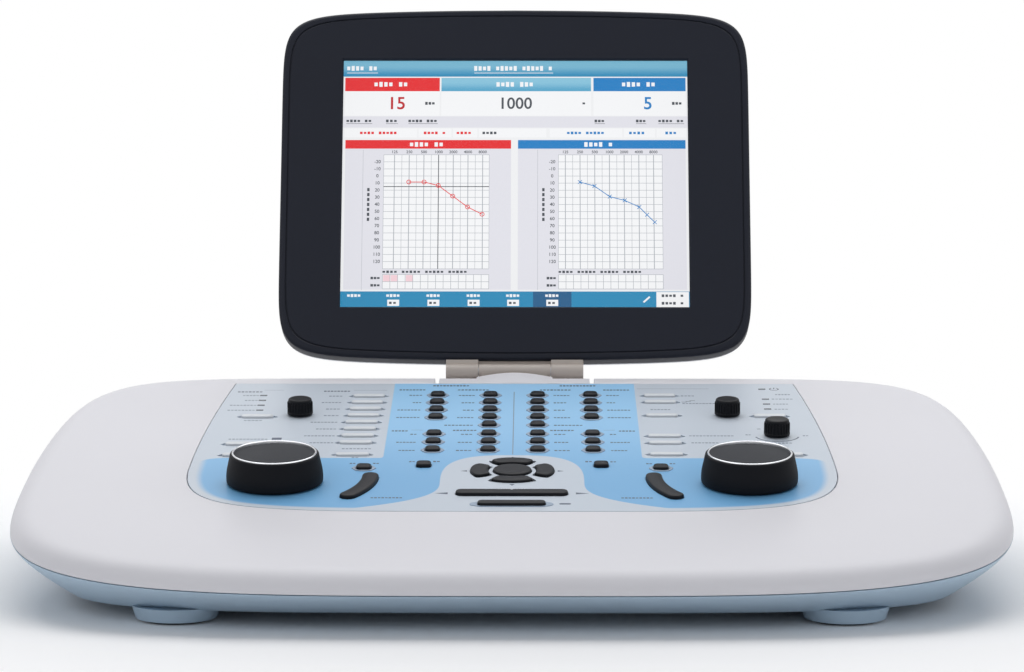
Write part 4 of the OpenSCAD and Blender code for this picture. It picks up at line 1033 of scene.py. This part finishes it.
def selector_keys():
    """Black selector keys and grey long keys, copied onto their places."""
    black = mesh_of(crowned(pill(BLACK_W, BLACK_L, BLACK_R), BLACK_H - 0.3, 1.1, 0.3, 2.2))
    grey = mesh_of(crowned(pill(LONG_W, LONG_L, 1.9), LONG_H - 0.1, 0.7, 0.25, 1.7))
    for node, places in BLACK_KEYS.items():
        key_piece(node, copied(black, spots_at(places), KEY_BLACK))
    for node, places in GREY_KEYS.items():
        key_piece(node, copied(grey, spots_at(places), KEY_GREY), KEY_GREY)


def collars():
    """Lens-shaped collars round the selector keys, and the rail round the save bar."""
    outer = lens(COLLAR_W, COLLAR_L)
    hole = inset(pill(BLACK_W, BLACK_L, BLACK_R), -KEY_GAP)
    loops = []
    for t in stations(96):
        a, b = toward(outer, t), toward(hole, t)
        out = (a - b).normalized() * min(0.35, (a - b).length / 3)
        loops.append([(*b, 0), (*b, COLLAR_H - 0.15), (*(b + out * 0.5), COLLAR_H),
                      (*(a - out), COLLAR_H), (*(a - out * 0.3), COLLAR_H - 0.15), (*a, 0)])
    lenses = copied(mesh_of([loft(loops, closed=True)], 40), spots_at(COLLARED), COLLAR)
    slot = inset(pill(SAVE_W, SAVE_L, SAVE_R, 8), -KEY_GAP)
    edge = inset(slot, -0.9)
    loops = []
    for t in stations(120):
        a, b = toward(edge, t), toward(slot, t)
        a.x += math.copysign(3 * max(0, abs(cosd(t)) - 0.97) / 0.03, a.x)
        loops.append([(*b, -0.2), (*b, 0.3), (*a, 0.3), (*a, -0.2)])
    rail = mesh_of([loft(loops, closed=True)], 40)
    rail.transform(Matrix.Translation((0, SAVE_V, 0)))
    shown("key_collar_lenses", joined([lenses, rail]), PLATE, COLLAR, "console", "key_collars")


def pad_arc(d):
    """Outline of one arc key of the pad, to the right of the pad's centre, drawn in by d."""
    mid_r, half_w = (PAD_IN_D + PAD_OUT_D) / 4, (PAD_OUT_D - PAD_IN_D) / 4
    points = []
    for t in stations(96):
        along, across = squared(t, 4.5, 0.7)
        a = (math.radians(PAD_ARC / 2) - d / mid_r) * along
        r = mid_r + (half_w - d) * across
        points.append((r * math.cos(a), r * math.sin(a)))
    return points


def bar_mark():
    """The pale arrow and the row of ticks in the middle of the frequency bar."""
    arrow = [(0, -0.9), (1.3, 0.9), (0.7, 0.9), (0, -0.1), (-0.7, 0.9), (-1.3, 0.9)]
    marks = [slab(moved(arrow, 0, FREQ_V + 2.1), BAR_H - 0.6, BAR_H + INK_T)]
    for i in range(-5, 6):
        tick = pill(0.8, 1 - 0.3 * (i % 2), 0.2, 2)
        marks.append(slab(moved(tick, 1.4 * i, FREQ_V + 3.4), BAR_H - 0.9, BAR_H - 0.13))
    shown("frequency_bar_mark", mesh_of(marks, 0), PLATE, KEY_GREY, "frequency_bar")


def single_keys():
    """Direction pad, the two centre bars and the present bars."""
    arc = mesh_of(crowned(pad_arc, PAD_H - 0.2, 0.9, 0.2, 2.6, ((PAD_IN_D + PAD_OUT_D) / 4, 0)))
    for node, turn in (("pad_right", 0), ("pad_up", 90), ("pad_left", 180), ("pad_down", 270)):
        mesh = arc.copy()
        mesh.transform(Matrix.Translation((0, PAD_V, 0))
                       @ Matrix.Rotation(math.radians(turn), 4, "Z"))
        key_piece(node, mesh)
    for node, outline, v, height, dish in (
            ("pad_centre", circle(PAD_CENTRE_D, 96), PAD_V, PAD_H, 0.25),
            ("frequency_bar", pill(FREQ_W, FREQ_L, 3.6, 10), FREQ_V, BAR_H, 0.2),
            ("save_bar", pill(SAVE_W, SAVE_L, SAVE_R, 8), SAVE_V, BAR_H, 0.2)):
        mesh = mesh_of(crowned(outline, height - dish, 0.9, dish, 2.4))
        mesh.transform(Matrix.Translation((0, v, 0)))
        key_piece(node, mesh)
    bar_mark()
    bar = moved(arc_bar(PRESENT_R, PRESENT_W, 180, 180 + PRESENT_ARC, 32, 14),
                PRESENT_X + PRESENT_R, PRESENT_V)
    x = PRESENT_X + PRESENT_R * (1 - cosd(PRESENT_ARC / 2))
    v = PRESENT_V - PRESENT_R * sind(PRESENT_ARC / 2)
    for node, outline, stem_x in (("right_present_bar", bar, x),
                                  ("left_present_bar", mirrored(bar), -x)):
        key_piece(node, mesh_of(crowned(outline, PRESENT_H - 0.3, 1.2, 0.3, 3.2, (stem_x, v))))


# ---- print on the plate -----------------------------------------------------------------
LETTER_PITCH = 2.05
LETTER_W = 1.5
LETTER_SHARES = (1, 0.8, 1, 0.9)        # heights of the letters in a word, in turn
LINE_T = 0.4

# words on both sides of the middle: from x, to x, v, height
PAIRED_WORDS = (
    (27, 49, 370.2, 2.8), (53, 69, 360.5, 2.4), (15, 34, 360.5, 2.4), (60.5, 70.2, 269.6, 2.4),
    (21, 35, 270.8, 2.4), (59, 76.5, 135.9, 2.0), (74.3, 78, 202.4, 2.0),
    (87.4, 91, 202.4, 2.0), (40.4, 44.6, 206.4, 2.4), (54.4, 58, 206, 2.0))
# words beside the black keys: places of the keys, distance, rise, lengths
KEY_WORDS = (
    (OUTER_UPPER, 9.2, 0.6, (8, 5.5, 14, 14)), (INNER_UPPER, 9.2, 0.4, (10, 8, 7, 10, 17)),
    (OUTER_LOWER, 9.8, 0, (4, 11.5, 9.6)), (INNER_LOWER, 9.2, 0, (7, 8.5, 9.2)))
LEFT_TEST_WORDS = (8.4, 12, 8.6, 9.2, 16, 12, 18, 14)
LIGHT_WORDS = (10, 8, 16, 16.6)
SOFT_WORDS = (
    (-157, -146, 291.6, 1.8), (-162.7, -140, 251.8, 2.0), (-97, -80, 232.2, 2.0),
    (-90.6, -86.3, 214.2, 1.6), (99, 107.4, 347.2, 1.9), (99.3, 119, 330, 1.9),
    (80, 92.2, 316.4, 1.9), (100.5, 126.4, 259.6, 1.9), (101.2, 117, 245, 1.9),
    (155.3, 164.6, 350.3, 2.2), (152.6, 165.5, 340.1, 1.8), (152.8, 162.1, 328.8, 1.8),
    (152.9, 161.3, 317.4, 1.8), (146.2, 158.9, 244.6, 1.9), (132.9, 136.3, 261.9, 1.8),
    (165.6, 169.1, 260.1, 1.8), (140, 142.8, 274.3, 1.6))
SOFT_LINES = ((-149.6, -138, 359.7), (-96, -76, 359.7), (73.5, 116.6, 363.5),
              (52, 58.5, 271.5), (-58.5, -52, 271.5))


def bar_spot(x0, x1, v, l):
    return spot((x0 + x1) / 2, v, 0, size=(x1 - x0, l, INK_T))


def word(x0, x1, v, height):
    """Spots of a greeked word: one small bar for each letter."""
    count = max(1, round((x1 - x0) / LETTER_PITCH))
    pitch = (x1 - x0) / count
    return [spot(x0 + pitch * (i + 0.5), v, 0,
                 size=(LETTER_W * pitch / LETTER_PITCH,
                       height * LETTER_SHARES[(i * 7 + count) % 4], INK_T))
            for i in range(count)]


def printed_labels():
    """Greeked labels beside the keys and the rules between the groups."""
    paired = list(PAIRED_WORDS)
    for places, distance, rise, lengths in KEY_WORDS:
        paired += [(x + distance, x + distance + length, v + rise, 1.9)
                   for (x, v), length in zip(places, lengths)]
    bold_words = paired + [(-b, -a, v, height) for a, b, v, height in paired]
    bold_words += [(-165.5, -150.3, 355.6, 2.2), (-114, -98, 357.3, 2.2)]
    soft_words = list(SOFT_WORDS)
    soft_words += [(-102 - length, -102, v + 0.2, 2.0)
                   for (x, v), length in zip(LEFT_TEST, LEFT_TEST_WORDS)]
    soft_words += [(-151.8 - length, -151.8, 347.2 - 11 * i, 1.8)
                   for i, length in enumerate(LIGHT_WORDS)]
    bold = [s for entry in bold_words for s in word(*entry)]
    bold.append(bar_spot(-137.8, -132.2, 252.8, 4.4))
    soft = [s for entry in soft_words for s in word(*entry)]
    soft += [bar_spot(*entry, LINE_T) for entry in SOFT_LINES]
    soft.append(bar_spot(-0.25, 0.25, 288.5, 135))
    bar = mesh_of([box_part((-0.5, -0.5, -0.2), (0.5, 0.5, 1))], 0)
    for name, spots, finish in (("dark", bold, INK), ("soft", soft, INK_SOFT)):
        shown("plate_labels_" + name, copied(bar, spots, finish), PLATE, finish, "console")


def printed_symbols():
    """Small printed signs: triangles round the pad and the bar, the level scale, the power sign."""
    def triangle(x, v, w, l):
        return [(x + w / 2, v), (x - w / 2, v + l / 2), (x - w / 2, v - l / 2)]

    signs = [triangle(side * x, v, side * w, l) for side in (1, -1) for x, v, w, l in (
        (26.8, PAD_V, 3.4, 2.6), (38.4, FREQ_V + 0.8, 7.2, 3.4))]
    signs += [[(-1.5, PAD_V + side * 25.6), (1.5, PAD_V + side * 25.6), (0, PAD_V + side * 28.4)]
              for side in SIDES]
    signs.append(moved(arc_bar(12.6, 0.9, 196, 344, 40), LEVEL_KNOB_X, LEVEL_KNOB_V))
    signs.append(moved(arc_bar(2.6, 0.7, 130, 410, 30), 155.6, 362.8))
    signs.append(moved(pill(0.7, 3, 0.3), 155.6, 364.4))
    signs.append(moved(pill(6.4, 2.6, 1.2), SAVE_W / 2 + 10.5, SAVE_V + 1))
    signs += [moved(pill(3.4, 0.7, 0.3), 100.8 + 2.4 * i, 333.2 + 1.6 * i) for i in range(3)]
    shown("plate_symbols", mesh_of([slab(sign, -0.005, INK_T) for sign in signs], 0), PLATE,
          INK, "console")


# ---- screen -----------------------------------------------------------------------------
def bezel():
    """Dark front frame: rounded edge, shadow groove, chamfered opening and the neck's notch."""
    edge = [(0, SEAM_Y)]
    edge += [(BEZEL_R * (1 - cosd(15 * i)), FACE_Y + BEZEL_R * (1 - sind(15 * i)))
             for i in range(7)]
    edge += [(GROOVE_AT + d, FACE_Y + y) for d, y in (
        (-0.3, 0), (0, 0.25), (0.1, 0.9), (0.6, 0.9), (0.7, 0.25), (1, 0))]
    loops = []
    for t in stations(SCREEN_STATIONS):
        loop = [(housing, d, y) for d, y in edge]
        loop += [(window, 0.9, FACE_Y), (window, 0, FACE_Y + 0.9), (window, 0, GLASS_Y)]
        loop += [(housing, SCREEN_WALL, GLASS_Y), (housing, SCREEN_WALL, SEAM_Y)]
        loops.append([(x, y, z) for (x, z), y in ((outline(t, d), y) for outline, d, y in loop)])
    mesh = carved(mesh_of([loft(loops, closed=True)]),
                  [box_part((-NECK_X - 0.5, NECK_FRONT - 0.4, FOOT_RISE - 1),
                            (NECK_X + 0.5, SEAM_Y + 6, FOOT_RISE + SCREEN_WALL + 4))])
    shown("bezel", mesh, SCREEN, FRAME_DARK, "screen", "display_bezel")


def back_rings(steps, wall, order):
    """Rings of the screen's domed back, from its rim or from its middle."""
    return [[(x, SEAM_Y + (BACK_DEPTH - wall) * sind(90 * j / steps), z) for x, z in
             (housing(t, wall + BACK_INSET * (1 - cosd(90 * j / steps)))
              for t in stations(SCREEN_STATIONS))] for j in order]


def rear_cover():
    """Light grey rear cover with rounded vents and screw holes."""
    mesh = mesh_of([loft(back_rings(16, 0, range(16, -1, -1))
                         + back_rings(10, SCREEN_WALL, range(11)))])
    vent = slab(pill(VENT_W, VENT_L, 1.4), -10, 10)
    hole = peg(0, 0, SCREW_R, -10, 10)
    holes = [(vent, (i - (VENT_COUNT - 1) / 2) * VENT_PITCH, z + VENT_L / 2)
             for z in VENT_ROWS for i in range(VENT_COUNT)]
    holes += [(hole, x, z) for x, z in SCREEN_SCREWS]
    mesh = carved(mesh, [([(px + x, pz + BACK_Y, py + z) for px, py, pz in part[0]], part[1])
                         for part, x, z in holes])
    shown("rear_cover", mesh, SCREEN, COVER_GREY, "screen", "display_back")


def cover_glass():
    outline = pill(LCD_W + 2 * GLASS_LAP, LCD_H + 2 * GLASS_LAP, 2)
    sheet = loft([[(x, GLASS_Y + y, z + LCD_MID) for x, z in outline] for y in (0.02, 0.5)])
    shown("cover_glass", mesh_of([sheet], 30), SCREEN, GLASS, "screen", "screen_glass")


# ---- lit picture: u goes right and v down, from 0 to 1 ------------------------------------
LAYER = 0.05
SHEET_T = 0.04
CURVES = {
    "red": [(0.193, 0.496), (0.237, 0.496), (0.278, 0.51), (0.32, 0.553), (0.363, 0.597),
            (0.405, 0.626)],
    "sky": [(0.687, 0.496), (0.729, 0.512), (0.773, 0.555), (0.816, 0.57), (0.858, 0.597),
            (0.88, 0.628), (0.902, 0.658)],
}
GRIDS = ((0.12, 0.425, 0.151), (0.625, 0.925, 0.645))       # both ends and the first column
GRID_TOP, GRID_FOOT = 0.385, 0.845
GRID_PITCH = 0.0425
GRID_ROWS = 16
COLUMN_TEXTS = ("125", "250", "500", "1000", "2000", "4000", "8000")
GRID_COLS = len(COLUMN_TEXTS)
TABLE_TOP, TABLE_MID, TABLE_FOOT = 0.868, 0.8965, 0.925
HEADER_BOXES = ((0.005, 0.28, "red"), (0.285, 0.72, "sky_pale"), (0.727, 0.995, "sky"))
GRAPH_BOXES = ((0.008, 0.488, "red"), (0.508, 0.993, "sky"))
CELLS = ((0.005, 0.215), (0.22, 0.315), (0.32, 0.39), (0.395, 0.59), (0.6, 0.81),
         (0.815, 0.905), (0.91, 0.995))
# greeked text: finish, v, layer, height, letter, spans
TEXT_ROWS = (
    ("white_line", 0.031, 2, 0.02, 0.013, ((0.01, 0.10), (0.38, 0.61))),
    ("white_line", 0.097, 4, 0.02, 0.014, ((0.09, 0.19), (0.445, 0.555), (0.81, 0.91))),
    ("white_line", 0.343, 4, 0.019, 0.014, ((0.195, 0.295), (0.7, 0.785))),
    ("dark", 0.175, 4, 0.012, 0.011, ((0.238, 0.268), (0.955, 0.985))),
    ("dark", 0.175, 4, 0.01, 0.011, ((0.695, 0.71),)),
    ("dark", 0.247, 3, 0.011, 0.011, ((0.01, 0.085), (0.125, 0.16), (0.19, 0.275), (0.73, 0.76),
                                      (0.85, 0.88), (0.915, 0.99))),
    ("dark", 0.296, 4, 0.011, 0.011, ((0.405, 0.46),)),
    ("dark", 0.952, 4, 0.011, 0.011, ((0.92, 0.985),)),
    ("dark", 0.982, 4, 0.011, 0.011, ((0.92, 0.985),)),
    ("red", 0.296, 4, 0.011, 0.011, ((0.05, 0.17), (0.235, 0.3), (0.33, 0.375))),
    ("sky", 0.296, 4, 0.011, 0.011, ((0.65, 0.76), (0.83, 0.89), (0.935, 0.97))),
)
UNDERLINES = {0.031: (0.05, 0.35), 0.247: (0.258, 0.25)}     # row: line's v and thickness
MENU = (0.04, 0.152, 0.267, 0.382, 0.495, 0.607)


def on_picture(u, v, layer):
    """Point of the picture as (x, y, z) of the screen frame."""
    return (u - 0.5) * LCD_W, MODULE_Y - 0.03 - LAYER * layer, LCD_MID + (0.5 - v) * LCD_H


def patch(u0, v0, u1, v1, layer):
    x0, y, z0 = on_picture(u0, v0, layer)
    x1, y, z1 = on_picture(u1, v1, layer)
    return spot((x0 + x1) / 2, y, (z0 + z1) / 2, size=(abs(x1 - x0), SHEET_T, abs(z1 - z0)))


def stroke(u0, v0, u1, v1, thick, layer):
    """Straight line between two points of the picture."""
    x0, y, z0 = on_picture(u0, v0, layer)
    x1, y, z1 = on_picture(u1, v1, layer)
    return spot((x0 + x1) / 2, y, (z0 + z1) / 2, (0, -math.atan2(z1 - z0, x1 - x0), 0),
                (math.hypot(x1 - x0, z1 - z0), SHEET_T, thick))


def greeked(u0, u1, v, layer, height=0.011, letter=0.011):
    """Greeked text: small bars with word gaps."""
    count = max(1, round((u1 - u0) / letter))
    spots = []
    for i in range(count):
        if count > 4 and i % 6 == 4:
            continue
        a = u0 + (u1 - u0) * i / count
        tall = height * (1, 0.75, 0.9)[(i * 5 + count) % 3]
        spots.append(patch(a, v - tall / 2, a + letter * 0.68, v + tall / 2, layer))
    return spots


def add_fields(spots):
    """Filled fields of the picture: bars, boxes, headers and cells."""
    spots["paper"].append(patch(0, 0, 1, 1, 0))
    spots["bar"] += [patch(0, 0, 1, 0.065, 1), patch(0, 0.935, 1, 1, 1)]
    spots["panel"].append(patch(0, 0.228, 1, 0.274, 1))
    for u0, u1, header in HEADER_BOXES:
        spots["white"].append(patch(u0, 0.07, u1, 0.225, 2))
        spots[header].append(patch(u0, 0.07, u1, 0.125, 3))
    for u0, u1, header in GRAPH_BOXES:
        spots[header].append(patch(u0, 0.325, u1, 0.36, 3))
        spots["panel"].append(patch(u0, 0.36, u1, 0.928, 1))
    spots["white"] += [patch(u0, 0.278, u1, 0.314, 2) for u0, u1 in CELLS]
    for u0, u1, _ in GRIDS:
        spots["white"].append(patch(u0, GRID_TOP, u1, GRID_FOOT, 2))
        spots["white"].append(patch(u0, TABLE_TOP, u1, TABLE_FOOT, 2))
    spots["pink"] += [patch(0.122 + 0.0218 * i, 0.87, 0.142 + 0.0218 * i, 0.895, 3)
                      for i in (0, 1, 3)]
    spots["deep"].append(patch(0.552, 0.936, 0.662, 0.999, 2))
    spots["white"] += [patch(u - 0.017, 0.968, u + 0.017, 0.993, 3) for u in MENU[1:]]
    spots["white"].append(patch(0.905, 0.937, 0.998, 0.998, 2))


def add_graphs(spots):
    """The two graphs: grids, tables below them, curves and the cursor."""
    grey, dark = spots["grey"], spots["dark"]
    for u0, u1, first in GRIDS:
        columns = [(u0, 0.25), (u1, 0.25)]
        columns += [(first + GRID_PITCH * i / 2, 0.25 if i % 2 else 0.5)
                    for i in range(GRID_COLS * 2 - 1)]
        grey += [stroke(u, GRID_TOP, u, GRID_FOOT, thick, 3) for u, thick in columns]
        rows = [GRID_TOP + (GRID_FOOT - GRID_TOP) * i / GRID_ROWS for i in range(GRID_ROWS + 1)]
        grey += [stroke(u0, v, u1, v, 0.28, 3) for v in rows]
        grey += [stroke(u0, v, u1, v, 0.3, 4) for v in (TABLE_TOP, TABLE_MID, TABLE_FOOT)]
        for i in range(15):
            u = u0 + (u1 - u0) * i / 14
            grey.append(stroke(u, TABLE_TOP, u, TABLE_FOOT, 0.3, 4))
        dark += greeked(u0, u1 - 0.06, 0.857, 3, 0.01)
        for v in (0.882, 0.911):
            dark += greeked(u0 - 0.034, u0 - 0.006, v, 3, 0.01)
        dark += [patch(u0 - 0.047, 0.52 + 0.02 * i, u0 - 0.04, 0.533 + 0.02 * i, 3)
                 for i in range(7)]
        grey.append(stroke(u0 - 0.06, 0.365, u0 - 0.06, 0.93, 0.2, 2))
    low, high, first = GRIDS[0]
    level = GRID_TOP + (GRID_FOOT - GRID_TOP) * 4.5 / GRID_ROWS
    cursor = first + 3 * GRID_PITCH
    dark += [stroke(cursor, GRID_TOP, cursor, GRID_FOOT, 0.5, 5),
             stroke(low, level, high, level, 0.5, 5)]
    for ink, points in CURVES.items():
        spots[ink] += [stroke(*a, *b, 0.5, 6) for a, b in zip(points, points[1:])]


def add_texts(spots):
    """Greeked text of the picture, with the lines under it, the menu and the pen."""
    for ink, v, layer, height, letter, spans in TEXT_ROWS:
        for u0, u1 in spans:
            spots[ink] += greeked(u0, u1, v, layer, height, letter)
            if v in UNDERLINES:
                under, thick = UNDERLINES[v]
                spots[ink].append(stroke(u0, under, u1, under, thick, layer))
    for u in MENU:
        spots["white_line"] += greeked(u - 0.02, u + 0.02, 0.952, 4, 0.012)
        if u != MENU[0]:
            spots["dark"] += greeked(u - 0.012, u + 0.012, 0.981, 4, 0.01)
    spots["white_line"].append(stroke(0.868, 0.978, 0.886, 0.956, 1.1, 3))


def value(text, u, v, height):
    """A plain number of the picture, centred on its place."""
    curve = bpy.data.curves.new("number", "FONT")
    curve.body = text
    curve.size = height / 0.7
    curve.align_x = "CENTER"
    curve.align_y = "CENTER"
    curve.extrude = 0.01
    curve.offset = 0.02 * height
    curve.resolution_u = 4
    mesh = final_mesh(linked("number", curve))
    mesh.transform(Matrix.Translation(on_picture(u, v, 4))
                   @ Matrix.Rotation(math.radians(90), 4, "X"))
    return mesh


def numbers():
    """The three large values and the numbers along the axes, by finish."""
    dark = [value("1000", 0.5, 0.177, 7.4)]
    for u0, u1, first in GRIDS:
        for i in range(1, GRID_ROWS):
            v = GRID_TOP + (GRID_FOOT - GRID_TOP) * i / GRID_ROWS
            dark.append(value(str(10 * (i - 3)), u0 - 0.018, v, 2.1))
        dark += [value(text, first + GRID_PITCH * i, 0.374, 1.8)
                 for i, text in enumerate(COLUMN_TEXTS)]
    return {"deep_red": [value("15", 0.155, 0.177, 8)], "sky": [value("5", 0.885, 0.177, 8)],
            "dark": dark}


def marks(finishes):
    """Round marks on the red curve and crosses on the blue one, by finish."""
    ring = mesh_of([loft([[(x, y, z) for x, z in circle(2 * r, 20)] for r, y in (
        (1.5, 0), (1.5, SHEET_T), (1.05, SHEET_T), (1.05, 0))], closed=True)], 0)
    bar = mesh_of([box_part((-1.7, 0, -0.22), (1.7, SHEET_T, 0.22))], 0)
    rings = [spot(*on_picture(u, v, 7)) for u, v in CURVES["red"]]
    bars = [spot(*on_picture(u, v, layer), (0, math.radians(turn), 0))
            for u, v in CURVES["sky"] for turn, layer in ((45, 7), (-45, 7.9))]
    return {"red": [copied(ring, rings, finishes["red"])],
            "sky": [copied(bar, bars, finishes["sky"])]}


def picture():
    """The lit picture: thin coloured sheets, lines, numbers and marks behind the glass."""
    top = LCD_MID + LCD_H / 2
    bar_fade = (top - LCD_H * 0.065, top - LCD_H * 0.02, rgb(24, 140, 188))
    head_fade = (top - LCD_H * 0.125, top - LCD_H * 0.085, rgb(82, 168, 206))
    finishes = {
        "paper": lit("paper", rgb(246, 247, 249)), "panel": lit("panel", rgb(232, 232, 240)),
        "white": lit("white", rgb(252, 253, 255)), "red": lit("red", rgb(235, 28, 34)),
        "sky": lit("sky", rgb(0, 128, 200)),
        "sky_pale": lit("sky_pale", rgb(138, 200, 226), head_fade),
        "bar": lit("bar", rgb(120, 186, 214), bar_fade),
        "deep_red": lit("deep_red", rgb(196, 14, 26)), "pink": lit("pink", rgb(250, 214, 222)),
        "deep": lit("deep", rgb(16, 92, 140)), "grey": lit("grid", rgb(176, 181, 188)),
        "dark": lit("text", rgb(70, 76, 84)), "white_line": lit("text_white", rgb(250, 252, 255)),
    }
    spots = {key: [] for key in finishes}
    add_fields(spots)
    add_graphs(spots)
    add_texts(spots)
    tile = mesh_of([box_part((-0.5, -0.5, -0.5), (0.5, 0.5, 0.5))], 0)
    extras = (numbers(), marks(finishes))
    for key, finish in finishes.items():
        meshes = [copied(tile, spots[key], finish)] if spots[key] else []
        for extra in extras:
            meshes += extra.get(key, [])
        shown("picture_" + key, joined(meshes), SCREEN, finish, "screen")


# ---- camera, light and floor --------------------------------------------------------------
CAMERA_X = 13.75
CAMERA_Y = -1847
CAMERA_Z = 331.7
CAMERA_DROP = 5.5
CAMERA_TURN = 0.00685
FOCAL_PIXELS = 3700
FRAME_PIXELS = 1024
SENSOR = 36
FLOOR_HALF = 15
FLOOR_GLOW = 0.16             # how much the floor's own light lifts it outside the shadow
BLACK = (0, 0, 0, 1)
PURE_WHITE = (1, 1, 1, 1)
# lamps: place and target in metres, size, power
LAMPS = {
    "overhead": ((0.0, 0.65, 1.8), (0, 0, 0), (2.4, 1.5), 27),
    "front_left": ((-1.5, -1.9, 1.4), (0, 0, 0.1), (1.2, 1.2), 6),
    "front_right": ((1.7, -1.7, 1.2), (0, 0, 0.1), (1.2, 1.2), 4.4),
}


def camera():
    data = bpy.data.cameras.new("camera")
    data.sensor_width = SENSOR
    data.sensor_fit = "HORIZONTAL"
    data.lens = SENSOR * FOCAL_PIXELS / FRAME_PIXELS
    data.clip_start = 0.05
    data.clip_end = 60
    made = linked("camera", data)
    made.location = (CAMERA_X * MM, (CAMERA_Y - MID_Y) * MM, CAMERA_Z * MM)
    made.rotation_euler = (math.radians(90 - CAMERA_DROP), 0, math.atan(CAMERA_TURN))
    bpy.context.scene.camera = made


def softboxes():
    for name, (place, target, size, power) in LAMPS.items():
        data = bpy.data.lights.new(name, "AREA")
        data.shape = "RECTANGLE"
        data.size, data.size_y = size
        data.energy = power
        made = linked(name, data)
        made.location = place
        made.rotation_euler = (Vector(target) - Vector(place)).to_track_quat("-Z", "Y").to_euler()


def seen_rays(paint):
    """1 for rays that show the background: camera, glossy and transmission."""
    path = paint.node("ShaderNodeLightPath").socket.node
    camera_ray, glossy, through = (Wire(paint, path.outputs[name]) for name in (
        "Is Camera Ray", "Is Glossy Ray", "Is Transmission Ray"))
    return camera_ray.at_least(glossy).at_least(through)


def surroundings():
    """White studio with soft light from above and both sides."""
    sky = Paint("studio", "worlds")
    bpy.context.scene.world = sky.owner
    white, soft = (sky.node("ShaderNodeBackground", values={"Color": colour, "Strength": strength})
                   for colour, strength in ((PURE_WHITE, 1.0), (rgb(244, 247, 252), 0.33)))
    sky.ended(sky.node("ShaderNodeMixShader", values={0: seen_rays(sky), 1: soft, 2: white}),
              "ShaderNodeOutputWorld")
    softboxes()
    bpy.context.scene.view_settings.view_transform = "Standard"


def floor():
    """Pale floor that keeps the shadow near the console and is pure white further out."""
    paint = Paint("floor_paper")
    where = paint.where()
    x, y, z = paint.axes(where)
    reach = ((x / (BASE_W / 2)) ** 2 + ((y - WIDEST_AT) / (BASE_L / 2)) ** 2) ** 0.5
    glow = paint.mix(reach.between(0.8, 1.7) * FLOOR_GLOW, BLACK, PURE_WHITE)
    near = paint.principled({
        "Base Color": paint.mix(paint.noise(where, 3), rgb(240, 240, 241), rgb(243, 243, 244)),
        "Roughness": 0.85, "Emission Color": glow, "Emission Strength": 1.0})
    far = paint.node("ShaderNodeEmission", values={"Color": PURE_WHITE, "Strength": 1.0})
    seen = seen_rays(paint) * reach.between(1.5, 2.6)
    finish = paint.ended(paint.node("ShaderNodeMixShader", values={0: seen, 1: near, 2: far}))
    mesh = bpy.data.meshes.new("floor")
    corners = [(x * FLOOR_HALF, y * FLOOR_HALF, 0) for x, y in ((-1, -1), (1, -1), (1, 1), (-1, 1))]
    mesh.from_pydata(corners, [], [(0, 1, 2, 3)])
    shown("floor", mesh, Matrix.Identity(4), finish)


camera()
surroundings()
floor()
finish_nodes()
top_cover()
tray()
big_dials()
small_knobs()
selector_keys()
collars()
single_keys()
printed_labels()
printed_symbols()
bezel()
rear_cover()
cover_glass()
picture()
